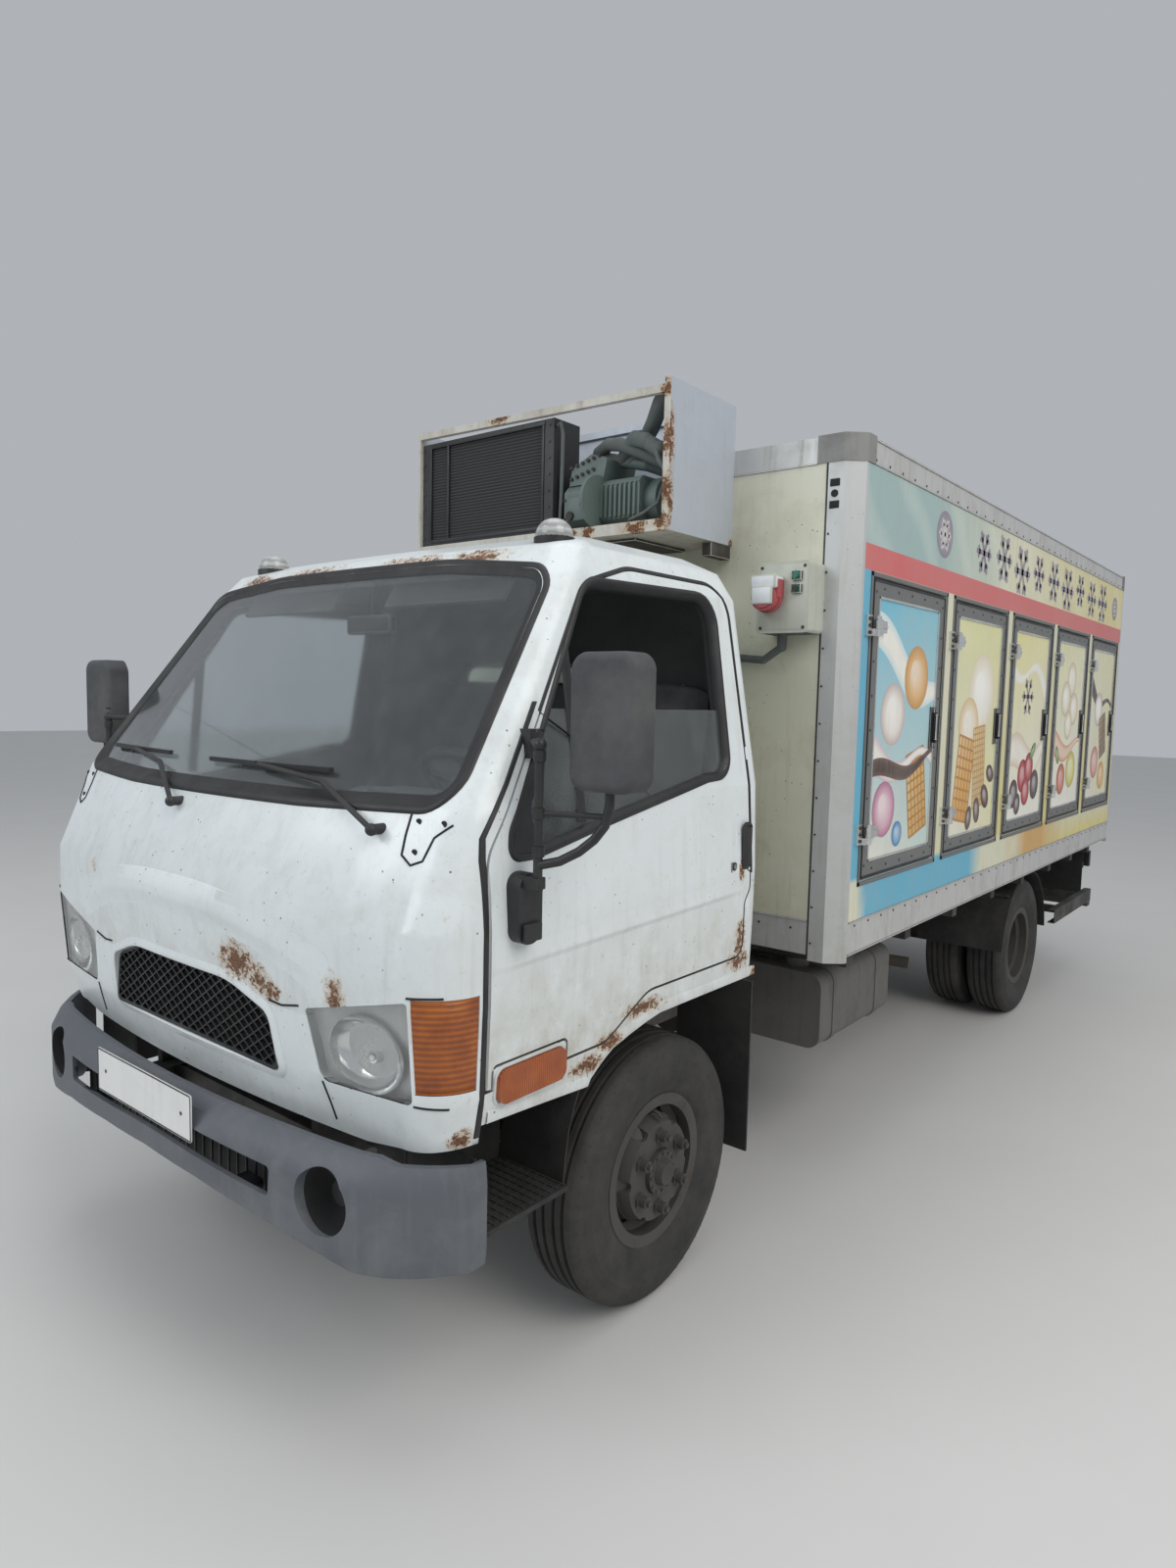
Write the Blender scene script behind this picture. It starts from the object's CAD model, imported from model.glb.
import bpy
import bmesh
import math
import random
from mathutils import Matrix, Vector
from mathutils.bvhtree import BVHTree


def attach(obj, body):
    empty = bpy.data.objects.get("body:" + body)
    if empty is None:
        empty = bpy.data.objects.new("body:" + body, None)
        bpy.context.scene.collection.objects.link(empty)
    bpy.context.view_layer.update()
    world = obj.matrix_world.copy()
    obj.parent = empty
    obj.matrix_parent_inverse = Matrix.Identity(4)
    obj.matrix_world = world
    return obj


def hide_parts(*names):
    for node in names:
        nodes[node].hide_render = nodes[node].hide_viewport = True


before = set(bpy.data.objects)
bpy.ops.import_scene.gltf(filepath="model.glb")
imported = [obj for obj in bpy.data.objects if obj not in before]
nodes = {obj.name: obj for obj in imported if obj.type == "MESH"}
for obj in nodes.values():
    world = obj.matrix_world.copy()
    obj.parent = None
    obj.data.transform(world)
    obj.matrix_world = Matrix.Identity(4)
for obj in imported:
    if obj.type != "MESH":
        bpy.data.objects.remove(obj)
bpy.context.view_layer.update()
random.seed(7)

# Lengths below are in millimetres with y = 0 at the front axle, as in the CAD source
SHIFT = -2115.0
SIDES = (("left", False), ("right", True))  # each side's name, and whether its pieces are mirrored
WHEEL_Z, REAR_AXLE = 402.5, 3735
FRONT_HALF_TRACK, REAR_HALF_TRACK, TWIN_HALF_GAP = 832.5, 747.5, 120
BOLT_CIRCLE = 111.125
WIDEST = 985.0  # half the cab's width at its widest
# Body doors: start of the first leaf, distance from leaf to leaf, a leaf's width and its lower and upper edge
DOOR_START, DOOR_PITCH, DOOR_WIDTH, DOOR_COUNT = 990, 868, 738, 5
DOOR_LOW, DOOR_HIGH = 1190, 2270
HINGE_LEVELS = (1357, 2102)
LATCH_Y, LATCH_Z = 664, 1735
SKIN = 1099.5  # the body's outer skin, just below its surface


def row(x, y, z):
    return Vector((x / 1000, (y + SHIFT) / 1000, z / 1000))


def to_mm(co):
    return Vector((co.x * 1000, co.y * 1000 - SHIFT, co.z * 1000))


# Camera at the photograph's place: angles in radians, focal length and height in the photograph's pixels
yaw, pitch, roll, focal = 0.6808, 0.0883, 0.0227, 980.34
PHOTO_HEIGHT, SENSOR = 1600, 36
LENS_PLACE = (2501.5, -2326.5, 1821)
forward = Vector((-math.sin(yaw) * math.cos(pitch), math.cos(yaw) * math.cos(pitch), -math.sin(pitch)))
right = Vector((math.cos(yaw), math.sin(yaw), 0))
up = right.cross(forward)
cam_x = right * math.cos(roll) + up * math.sin(roll)
cam_y = up * math.cos(roll) - right * math.sin(roll)
camera_data = bpy.data.cameras.new("camera")
camera_data.sensor_width = SENSOR
camera_data.lens = focal / PHOTO_HEIGHT * SENSOR
camera_data.clip_end = 200
camera = bpy.data.objects.new("camera", camera_data)
turn = Matrix((cam_x, cam_y, -forward)).transposed().to_4x4()
camera.matrix_world = Matrix.Translation(row(*LENS_PLACE)) @ turn
bpy.context.scene.collection.objects.link(camera)
bpy.context.scene.camera = camera


# Materials: a small set of node helpers
class Look:
    def __init__(self, name, colour, rough, metal=0.0):
        self.material = bpy.data.materials.new(name)
        self.material.use_nodes = True
        self.tree = self.material.node_tree
        self.shader = self.tree.nodes["Principled BSDF"]
        self.set(Base_Color=colour, Roughness=rough, Metallic=metal)
        self.place = self.node("TexCoord").outputs["Object"]
        self.axes = None

    def put(self, socket, value):
        if isinstance(value, bpy.types.NodeSocket):
            self.tree.links.new(value, socket)
        elif isinstance(value, (tuple, list)) and len(value) == 3 and socket.type == "RGBA":
            socket.default_value = (*value, 1)
        else:
            socket.default_value = value

    def set(self, **values):
        for name, value in values.items():
            self.put(self.shader.inputs[name.replace("_", " ")], value)

    def node(self, kind, **inputs):
        made = self.tree.nodes.new("ShaderNode" + kind)
        for name, value in inputs.items():
            self.put(made.inputs[name.replace("_", " ")], value)
        return made

    def stretched(self, x, y, z):
        return self.node("Mapping", Vector=self.place, Scale=(x, y, z)).outputs["Vector"]

    def noise(self, scale, detail=4, rough=0.6, twist=0.0, at=None):
        node = self.node("TexNoise", Vector=at or self.place, Scale=scale, Detail=detail, Roughness=rough,
                         Distortion=twist)
        return node.outputs["Fac"]

    def cells(self, scale):
        return self.node("TexVoronoi", Vector=self.place, Scale=scale).outputs["Distance"]

    def wave(self, scale, axis="X", twist=0.0):
        node = self.node("TexWave", Vector=self.place, Scale=scale, Distortion=twist)
        node.bands_direction = axis
        return node.outputs["Fac"]

    def span(self, value, low, high, to_low=0.0, to_high=1.0):
        node = self.node("MapRange", Value=value, From_Min=low, From_Max=high, To_Min=to_low, To_Max=to_high)
        return node.outputs["Result"]

    def calc(self, kind, a, b):
        node = self.node("Math")
        node.operation = kind
        self.put(node.inputs[0], a)
        self.put(node.inputs[1], b)
        return node.outputs[0]

    def times(self, a, b):
        return self.calc("MULTIPLY", a, b)

    def mix(self, share, a, b):
        node = self.node("Mix")
        node.data_type = "RGBA"
        self.put(node.inputs["Factor"], share)
        colours = [s for s in node.inputs if s.type == "RGBA"]
        self.put(colours[0], a)
        self.put(colours[1], b)
        return [s for s in node.outputs if s.type == "RGBA"][0]

    def axis(self, i):
        if self.axes is None:
            self.axes = list(self.node("SeparateXYZ", Vector=self.place).outputs)
        return self.axes[i]

    def y(self):
        # y from the front axle, in metres
        return self.calc("SUBTRACT", self.axis(1), SHIFT / 1000)

    def near(self, x, y, z, radius, squash=(1, 1, 1)):
        # 1 at a point of the truck, falling to 0 at the radius
        about = self.node("Mapping", Vector=self.place, Location=row(x, y, z), Scale=squash)
        about.vector_type = "TEXTURE"
        away = self.node("VectorMath", Vector=about.outputs[0])
        away.operation = "LENGTH"
        return self.span(away.outputs["Value"], 0.0, radius / 1000, 1.0, 0.0)

    def runs(self):
        # Streaks that run down a wall
        return self.span(self.noise(5, 4, 0.6, 0.2, self.stretched(6, 6, 0.5)), 0.52, 0.8)

    def dots(self, size, inner, outer, patch, low, high):
        # Small round spots that come in patches
        return self.times(self.span(self.cells(size), inner, outer, 1, 0), self.span(self.noise(patch, 3), low, high))

    def bump(self, height, strength, distance):
        node = self.node("Bump", Height=height, Strength=strength, Distance=distance)
        self.put(self.shader.inputs["Normal"], node.outputs[0])


def rusted(k, c, roughness, spots):
    # Round each spot a stained edge, then blotches of dark and of lighter rust
    total = k.near(*spots[0])
    for spot in spots[1:]:
        total = k.calc("MAXIMUM", total, k.near(*spot))
    edge = k.calc("ADD", total, k.span(k.noise(38, 6, 0.75, 0.5), 0.2, 0.8, -0.55, 0.45))
    stain = k.mix(k.span(k.noise(46, 5, 0.7), 0.35, 0.65), (0.42, 0.25, 0.11), (0.56, 0.45, 0.3))
    c = k.mix(k.span(edge, 0.1, 0.5, 0, 0.68), c, stain)
    blotch = k.span(k.noise(75, 6, 0.75, 0.6), 0.42, 0.56, -0.24, 0.22)
    solid = k.span(k.calc("ADD", edge, blotch), 0.46, 0.6)
    deep = k.span(k.noise(160, 5, 0.7), 0.38, 0.62)
    c = k.mix(solid, c, k.mix(deep, (0.055, 0.026, 0.015), (0.24, 0.105, 0.045)))
    return c, k.mix(solid, roughness, (0.9, 0.9, 0.9))


def weathered(name, base, rough, metal=0.0, *, dirt, film, streaks, grain, low=None, specks=0.0, rust=(), tone=0.08,
              colour=None, coat=0.0):
    # Paint or plastic with tone changes, a film and streaks of dirt, specks and rust spots. low is the height in
    # metres up to which dirt lies thick, the height where it ends, and its strength
    k = Look(name, base, rough, metal)
    dark = tuple(v * (1 - tone * 2.2) for v in base)
    c = k.mix(k.span(k.noise(1.7, 5, 0.62), 0.35, 0.75, 0, tone * 5), colour(k) if colour else base, dark)
    stain = k.times(k.span(k.noise(6, 6, 0.65, 0.4), 0.48, 0.78), film)
    stain = k.calc("ADD", stain, k.times(k.runs(), streaks))
    if low:
        near_floor = k.span(k.axis(2), low[0], low[1], 1, 0)
        patchy = k.span(k.noise(9, 6, 0.7), 0.3, 0.68)
        stain = k.calc("ADD", stain, k.times(k.times(near_floor, patchy), low[2]))
    stain = k.calc("MINIMUM", stain, 0.95)
    c = k.mix(stain, c, dirt)
    if specks:
        c = k.mix(k.times(k.dots(30, 0.06, 0.1, 4, 0.42, 0.56), specks), c, (0.11, 0.085, 0.06))
        c = k.mix(k.times(k.dots(95, 0.07, 0.13, 7, 0.5, 0.62), specks * 0.7), c, (0.16, 0.13, 0.1))
    roughness = k.span(stain, 0, 0.8, rough, min(rough + 0.35, 0.95))
    if rust:
        c, roughness = rusted(k, c, roughness, rust)
    k.set(Base_Color=c, Roughness=roughness)
    if coat:
        k.set(Coat_Weight=coat, Coat_Roughness=0.12)
    k.bump(k.calc("ADD", k.times(k.noise(220, 3), 0.5), k.noise(14, 5)), grain, 0.0015)
    return k.material


def plain(name, base, rough, metal=0.0, grain=0.25, scale=160, vary=0.25, dust=0.15):
    # One colour that varies a little, with a film of dust and a fine grain
    k = Look(name, base, rough, metal)
    light = tuple(min(v * (1 + vary) + 0.01, 1) for v in base)
    deep = tuple(v * (1 - vary) for v in base)
    c = k.mix(k.noise(9, 6, 0.65), deep, light)
    c = k.mix(k.times(k.span(k.noise(4, 6, 0.7), 0.42, 0.75), dust), c, (0.27, 0.25, 0.22))
    k.set(Base_Color=c, Roughness=k.span(k.noise(12, 4), 0.3, 0.7, max(rough - 0.08, 0.02), min(rough + 0.14, 1)))
    k.bump(k.noise(scale, 4), grain, 0.001)
    return k.material


def fin_look():
    k = Look("condenser_fins", (0.018, 0.019, 0.021), 0.6)
    fins = k.wave(26, "Z")
    k.set(Base_Color=k.mix(fins, (0.006, 0.006, 0.007), (0.045, 0.047, 0.05)))
    k.bump(k.calc("ADD", fins, k.times(k.wave(120), 0.4)), 0.7, 0.004)
    return k.material


# Rust spots: a place, a radius and a stretch along each axis
front_rust = [
    (300, -1020, 1135, 75, (1.6, 1, 1)), (385, -1010, 1105, 62), (430, -1005, 1080, 48),
    (668, -1000, 1108, 62, (0.8, 1, 1.3)), (-494, -1050, 1293, 42, (1, 1, 1.6)), (640, -985, 1046, 30),
    (955, -850, 800, 45), (700, -990, 756, 40, (2, 1, 0.6)),
]
roof_rust = [
    (-250, -445, 2212, 110, (2.6, 1, 0.6)), (260, -440, 2216, 105, (2.4, 1, 0.6)), (520, -410, 2216, 85, (2.0, 1, 0.6)),
    (-600, -400, 2215, 70, (2.0, 1, 0.6)), (900, -600, 1985, 22), (960, -905, 850, 55),
]
door_rust = [
    (985, 335, 1290, 42, (1, 0.7, 1.6)), (985, 340, 1060, 60, (1, 0.8, 1.7)), (985, 330, 995, 55, (1, 1.8, 0.8)),
    (975, -180, 965, 50, (1, 3, 0.7)), (975, -420, 866, 52, (1, 2.0, 0.8)), (985, 440, 930, 60),
    (-985, 335, 1060, 60), (-980, -420, 872, 60), (985, -330, 905, 40, (1, 2, 1)),
]
white = (0.74, 0.79, 0.8)
PAINT = weathered("cab_paint", white, 0.3, low=(0.8, 1.35, 0.5), specks=0.95, rust=roof_rust + door_rust + front_rust,
                  film=0.24, streaks=0.2, dirt=(0.33, 0.29, 0.21), tone=0.06, coat=0.25, grain=0.05)
PANEL = weathered("front_paint", white, 0.28, low=(0.7, 0.95, 0.35), specks=1.0, rust=front_rust, film=0.22,
                  streaks=0.12, dirt=(0.38, 0.36, 0.3), tone=0.06, coat=0.3, grain=0.05)
DOOR = weathered("door_paint", white, 0.3, low=(0.85, 1.28, 0.75), specks=0.7, rust=door_rust, film=0.16, streaks=0.2,
                 dirt=(0.36, 0.31, 0.2), tone=0.05, coat=0.25, grain=0.05)
RUBBER = plain("black_rubber", (0.009, 0.0095, 0.011), 0.5, grain=0.2, dust=0.06)
BLACK = plain("black_plastic_trim", (0.011, 0.0115, 0.013), 0.45, grain=0.3, dust=0.08)
GREY_SHELL = plain("scuffed_grey_shell", (0.052, 0.055, 0.06), 0.62, grain=0.6, scale=420, vary=0.4, dust=0.25)
FRAME = plain("chassis_black", (0.022, 0.021, 0.02), 0.62, grain=0.5, scale=60, dust=0.32)
TANK = weathered("tank_grey", (0.15, 0.145, 0.135), 0.6, 0.2, film=0.5, streaks=0.3, dirt=(0.09, 0.082, 0.072),
                 grain=0.4, tone=0.12)
STEP_BLACK = plain("step_black", (0.012, 0.012, 0.0125), 0.7, grain=0.7, scale=70, dust=0.12)
IRON = weathered("dirty_iron", (0.05, 0.043, 0.037), 0.75, film=0.6, streaks=0.3, dirt=(0.12, 0.09, 0.065), grain=0.6,
                 tone=0.2)
BUMPER = weathered("faded_bumper", (0.105, 0.115, 0.132), 0.52, film=0.5, streaks=0.25, dirt=(0.21, 0.215, 0.22),
                   grain=0.3, low=(0.45, 0.72, 0.35), tone=0.12, specks=0.25)
CHROME = plain("worn_chrome", (0.8, 0.8, 0.78), 0.2, 1.0, grain=0.12, scale=90, vary=0.15, dust=0.1)
STEEL = plain("dull_steel", (0.42, 0.42, 0.41), 0.42, 1.0, grain=0.25, scale=120, dust=0.25)
BOLT = plain("dark_bolt", (0.05, 0.045, 0.04), 0.6, 0.6, grain=0.4, dust=0.3)
DARK = plain("deep_shadow_plastic", (0.008, 0.008, 0.009), 0.8, dust=0.05)
RIM = weathered("dirty_rim", (0.085, 0.08, 0.074), 0.62, 0.2, film=0.7, streaks=0.2, dirt=(0.05, 0.042, 0.035),
                grain=0.6, specks=0.4, tone=0.15)
ALUMINIUM = weathered("body_aluminium", (0.57, 0.57, 0.56), 0.42, 0.3, film=0.4, streaks=0.45, dirt=(0.3, 0.29, 0.26),
                      grain=0.12, specks=0.3, tone=0.06)
POST = weathered("post_enamel", (0.53, 0.545, 0.54), 0.4, 0.15, film=0.4, streaks=0.45, low=(0.9, 1.9, 0.35),
                 dirt=(0.36, 0.34, 0.29), grain=0.1, specks=0.4, tone=0.05)
CAP = weathered("cast_corner", (0.3, 0.3, 0.29), 0.7, 0.3, film=0.6, streaks=0.3, dirt=(0.17, 0.16, 0.145), grain=0.8,
                tone=0.15)
CREAM = weathered("cream_wall", (0.66, 0.66, 0.53), 0.42, film=0.4, streaks=0.3, dirt=(0.38, 0.35, 0.25), specks=0.9,
                  low=(1.0, 1.6, 0.4), tone=0.05, grain=0.1)
LINER = plain("white_liner", (0.68, 0.68, 0.63), 0.5, grain=0.15, vary=0.06, dust=0.2)
DOOR_FRAME = weathered("door_edge_grey", (0.15, 0.155, 0.155), 0.5, film=0.4, streaks=0.3, dirt=(0.24, 0.23, 0.2),
                       grain=0.25)
GALVANISED = weathered("side_panel_grey", (0.47, 0.51, 0.57), 0.35, 0.15, film=0.25, streaks=0.2,
                       dirt=(0.33, 0.33, 0.32), grain=0.1, specks=0.3, tone=0.05,
                       rust=[(600, 410, 2500, 60, (1, 0.7, 3)), (600, 410, 2700, 60, (1, 0.7, 3)),
                             (600, 830, 2400, 40)])
RUSTY = weathered("rusty_enamel", (0.58, 0.56, 0.5), 0.5, film=0.5, streaks=0.5, dirt=(0.2, 0.13, 0.08), grain=0.4,
                  specks=0.8,
                  rust=[(150, 410, 2418, 40, (2, 1, 1)), (255, 410, 2420, 46), (470, 410, 2418, 52, (1.6, 1, 1)),
                        (575, 410, 2430, 60), (592, 410, 2540, 50, (1, 1, 1.8)), (594, 410, 2700, 44, (1, 1, 2)),
                        (590, 410, 2868, 50), (-200, 410, 2890, 30, (3, 1, 1))])
FIN = fin_look()
MACHINE = weathered("machine_green", (0.13, 0.175, 0.16), 0.5, film=0.55, streaks=0.3, dirt=(0.1, 0.095, 0.08),
                    grain=0.35, tone=0.15)
PIPE = weathered("pipe_wrap", (0.12, 0.14, 0.135), 0.85, film=0.6, streaks=0.2, dirt=(0.2, 0.19, 0.17), grain=1.0,
                 tone=0.2)
BOX_GREY = weathered("socket_case", (0.5, 0.52, 0.45), 0.45, film=0.35, streaks=0.3, dirt=(0.3, 0.29, 0.22),
                     grain=0.1, specks=0.3)
SOCKET_RED = plain("faded_red", (0.42, 0.09, 0.1), 0.5, vary=0.3, dust=0.3)
WHITE_PLASTIC = plain("white_cap", (0.7, 0.72, 0.75), 0.42, vary=0.08, dust=0.2)
GREEN = plain("green_button", (0.02, 0.14, 0.09), 0.4)
DASH = plain("dash_grey", (0.11, 0.12, 0.13), 0.65, grain=0.6, scale=500, dust=0.25)
TRIM_LIGHT = plain("cab_lining", (0.1, 0.1, 0.098), 0.8, grain=0.5, scale=300, dust=0.2)
PLATE = weathered("plate_white", (0.78, 0.78, 0.77), 0.35, film=0.2, streaks=0.15, dirt=(0.4, 0.38, 0.33), grain=0.05)
SEAT_FABRIC = plain("seat_vinyl", (0.05, 0.052, 0.058), 0.7, grain=0.6, scale=420, vary=0.3, dust=0.3)
FLOOR_MAT = plain("cab_mat", (0.03, 0.03, 0.032), 0.9, grain=1.0, scale=90, dust=0.5)


def tread_rubber():
    k = Look("tyre_rubber", (0.03, 0.03, 0.031), 0.78)
    dust = k.span(k.noise(7, 6, 0.7), 0.35, 0.75, 0.1, 0.75)
    k.set(Base_Color=k.mix(dust, (0.018, 0.018, 0.019), (0.075, 0.07, 0.063)))
    k.bump(k.calc("ADD", k.noise(90, 5), k.times(k.noise(500, 2), 0.4)), 0.35, 0.002)
    return k.material


def clear(name, tint, rough=0.03, *, haze, haze_colour, ribs=0, low=None):
    # Glass with a film of dust on it, thicker between the two heights of low
    k = Look(name, tint, rough)
    dust = k.span(k.noise(2.6, 6, 0.65, 0.3), 0.32, 0.75, haze * 0.45, haze)
    smear = k.times(k.span(k.noise(16, 4, 0.6, 0.8, k.stretched(1, 1, 0.25)), 0.5, 0.8), haze * 0.5)
    dust = k.calc("ADD", dust, smear)
    if low:
        dust = k.calc("ADD", dust, k.span(k.axis(2), low[0], low[1], haze * 0.8, 0))
    k.set(Base_Color=k.mix(dust, tint, haze_colour), Roughness=k.span(dust, 0, 1, rough, 0.5),
          Transmission_Weight=k.span(dust, 0, 1, 1.0, 0.15), IOR=1.42)
    if ribs:
        k.bump(k.wave(ribs), 0.25, 0.001)
    return k.material


def lamp_plastic(name, deep, bright, ribs, axis="Z"):
    k = Look(name, bright, 0.18)
    band = k.wave(ribs, axis)
    c = k.mix(k.span(k.noise(14, 5), 0.3, 0.7), deep, bright)
    c = k.mix(k.times(band, 0.55), c, tuple(v * 0.35 for v in deep))
    k.set(Base_Color=c, Transmission_Weight=0.25, Coat_Weight=0.4)
    k.bump(band, 0.7, 0.003)
    return k.material


TYRE = tread_rubber()
GLASS = clear("screen_glass", (0.78, 0.83, 0.84), haze=0.055, haze_colour=(0.26, 0.29, 0.31), low=(1.5, 1.72))
DARK_GLASS = clear("door_glass", (0.7, 0.75, 0.75), haze=0.1, haze_colour=(0.3, 0.32, 0.32))
LENS = clear("lamp_lens", (0.9, 0.92, 0.92), 0.05, haze=0.16, haze_colour=(0.5, 0.52, 0.5), ribs=16)
MIRROR = plain("mirror_glass", (0.8, 0.82, 0.84), 0.04, 1.0, grain=0.0, vary=0.03, dust=0.08)
REFLECTOR = plain("lamp_reflector", (0.78, 0.79, 0.79), 0.16, 1.0, grain=0.05, scale=30, vary=0.05, dust=0.1)
HOUSING = plain("lamp_housing", (0.78, 0.79, 0.78), 0.32, 0.3, grain=0.1, vary=0.1, dust=0.3)
AMBER = lamp_plastic("amber_lens", (0.36, 0.075, 0.004), (0.68, 0.18, 0.01), 22)
AMBER_SIDE = lamp_plastic("amber_marker", (0.5, 0.095, 0.005), (0.7, 0.16, 0.01), 42, "Y")
RED_LENS = lamp_plastic("red_lens", (0.35, 0.01, 0.008), (0.6, 0.02, 0.012), 30)
WHITE_LENS = lamp_plastic("white_dome", (0.5, 0.52, 0.5), (0.72, 0.73, 0.7), 14)


# The printed side of the body: bands of colour along the wall, the same places on both sides
def side_print(k):
    y, z = k.y(), k.axis(2)
    wobble = k.span(k.noise(1.6, 3, 0.5), 0.3, 0.7, -0.18, 0.18)
    bend = k.calc("ADD", y, wobble)
    teal, sky, cream = (0.33, 0.47, 0.46), (0.1, 0.42, 0.6), (0.7, 0.69, 0.52)
    yellow, ochre = (0.72, 0.62, 0.22), (0.62, 0.36, 0.08)
    top = k.mix(k.span(bend, 1.6, 2.6), teal, cream)
    top = k.mix(k.span(bend, 2.4, 4.6, 0, 0.75), top, yellow)
    top = k.mix(k.times(k.span(k.wave(1.2, "DIAGONAL", 3), 0.6, 1), 0.2), top, (0.8, 0.8, 0.7))
    between = k.mix(k.span(bend, 1.75, 2.3), cream, k.mix(k.span(z, 1.2, 2.2), yellow, cream))
    between = k.mix(k.span(y, 0.985, 0.995, 1, 0), between, sky)
    under = k.mix(k.span(bend, 1.1, 1.2), cream, sky)
    under = k.mix(k.span(bend, 2.15, 2.4), under, cream)
    under = k.mix(k.span(bend, 2.75, 3.0), under, ochre)
    under = k.mix(k.span(bend, 3.5, 4.1), under, k.mix(k.span(z, 1.05, 1.2), yellow, cream))
    c = k.mix(k.span(z, 1.18, 1.2), under, between)
    c = k.mix(k.span(z, 2.293, 2.297), c, (0.62, 0.13, 0.13))
    return k.mix(k.span(z, 2.383, 2.387), c, top)


WALL = weathered("printed_wall", (0.6, 0.6, 0.5), 0.38, film=0.22, streaks=0.3, dirt=(0.4, 0.39, 0.33), specks=0.25,
                 tone=0.02, grain=0.08, colour=side_print)


def circle(n):
    # The angles of n even steps round a circle
    return [2 * math.pi * j / n for j in range(n)]


def placed(name, mesh, body, smooth, replaces):
    # A piece shaded smoothly up to an angle, riding a body, in the place of the CAD nodes that it replaces
    mesh.polygons.foreach_set("use_smooth", [True] * len(mesh.polygons))
    mesh.set_sharp_from_angle(angle=math.radians(smooth))
    thing = bpy.data.objects.new(name, mesh)
    bpy.context.scene.collection.objects.link(thing)
    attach(thing, body)
    if replaces:
        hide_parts(*replaces)
    return thing


# Mesh building: everything in millimetres from the front axle until done() moves it; m is a material's slot
class Build:
    def __init__(self):
        self.bm = bmesh.new()

    def mark(self, verts, m):
        for f in {f for v in verts for f in v.link_faces}:
            f.material_index = m

    def box(self, x0, x1, y0, y1, z0, z1, m=0, bevel=0.0, turn=None):
        low, size = (x0, y0, z0), (x1 - x0, y1 - y0, z1 - z0)
        verts = bmesh.ops.create_cube(self.bm, size=1)["verts"]
        for v in verts:
            v.co = [a + (c + 0.5) * s for a, c, s in zip(low, v.co, size)]
        self.mark(verts, m)
        if turn:
            bmesh.ops.rotate(self.bm, cent=Vector(low) + Vector(size) / 2, matrix=turn, verts=verts)
        if bevel:
            edges = list({e for v in verts for e in v.link_edges})
            bmesh.ops.bevel(self.bm, geom=edges, offset=bevel, segments=2, profile=0.5, affect="EDGES")

    def border(self, x0, x1, y0, y1, z0, z1, wide, high, m, bevel):
        # Four bars round an opening of a side wall, wide along Y and high along Z
        for bar in ((y0, y1, z0, z0 + high), (y0, y1, z1 - high, z1), (y0, y0 + wide, z0, z1), (y1 - wide, y1, z0, z1)):
            self.box(x0, x1, *bar, m=m, bevel=bevel)

    def rod(self, p, q, r, m=0, n=16, r2=None):
        p, q = Vector(p), Vector(q)
        way = q - p
        place = Matrix.Translation((p + q) / 2) @ way.to_track_quat("Z", "Y").to_matrix().to_4x4()
        made = bmesh.ops.create_cone(self.bm, cap_ends=True, segments=n, radius1=r, radius2=r if r2 is None else r2,
                                     depth=way.length, matrix=place)
        self.mark(made["verts"], m)

    def pin(self, x, y, z, r, **how):
        # A rod along the axis whose coordinate is a pair of ends
        p, q = [[c[end] if isinstance(c, tuple) else c for c in (x, y, z)] for end in (0, 1)]
        self.rod(p, q, r, **how)

    def ball(self, p, r, m):
        made = bmesh.ops.create_uvsphere(self.bm, u_segments=14, v_segments=7, radius=r,
                                         matrix=Matrix.Translation(Vector(p)))
        self.mark(made["verts"], m)

    def sheet(self, rows, closed=False, loop=False, m=0):
        # Quads between rows of points; closed joins each row's ends and loop joins the last row to the first
        grid = [[self.bm.verts.new(p) for p in points] for points in rows]
        for a, b in zip(grid, grid[1:] + ([grid[0]] if loop else [])):
            count = len(a)
            for i in range(count if closed else count - 1):
                j = (i + 1) % count
                self.bm.faces.new((a[i], a[j], b[j], b[i])).material_index = m

    def plate(self, points, m=0):
        self.bm.faces.new([self.bm.verts.new(p) for p in points]).material_index = m

    def tube(self, points, r, m=0, n=10):
        points = [Vector(p) for p in points]
        rings = []
        side = None
        for i, p in enumerate(points):
            way = (points[min(i + 1, len(points) - 1)] - points[max(i - 1, 0)]).normalized()
            side = way.orthogonal().normalized() if side is None else (side - way * side.dot(way)).normalized()
            other = way.cross(side)
            rings.append([p + side * math.cos(t) * r + other * math.sin(t) * r for t in circle(n)])
        self.sheet(rings, closed=True, m=m)
        self.plate(list(reversed(rings[0])), m)
        self.plate(rings[-1], m)

    def slab(self, outline, low, high, m=0, axis=0):
        # A flat outline of two coordinates pushed between two levels of the third axis
        def ring(level):
            points = [list(p) for p in outline]
            for p in points:
                p.insert(axis, level)
            return [self.bm.verts.new(p) for p in points]
        lower, upper = ring(low), ring(high)
        faces = [self.bm.faces.new(list(reversed(lower))), self.bm.faces.new(upper)]
        for i in range(len(outline)):
            j = (i + 1) % len(outline)
            faces.append(self.bm.faces.new((lower[i], lower[j], upper[j], upper[i])))
        for f in faces:
            f.material_index = m

    def done(self, name, body, materials, flip=False, smooth=38, replaces=(), tidy=True):
        for v in self.bm.verts:
            v.co = row(-v.co.x if flip else v.co.x, v.co.y, v.co.z)
        if tidy:
            bmesh.ops.recalc_face_normals(self.bm, faces=self.bm.faces[:])
        mesh = bpy.data.meshes.new(name)
        self.bm.to_mesh(mesh)
        self.bm.free()
        for material in materials:
            mesh.materials.append(material)
        return placed(name, mesh, body, smooth, replaces)


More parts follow.
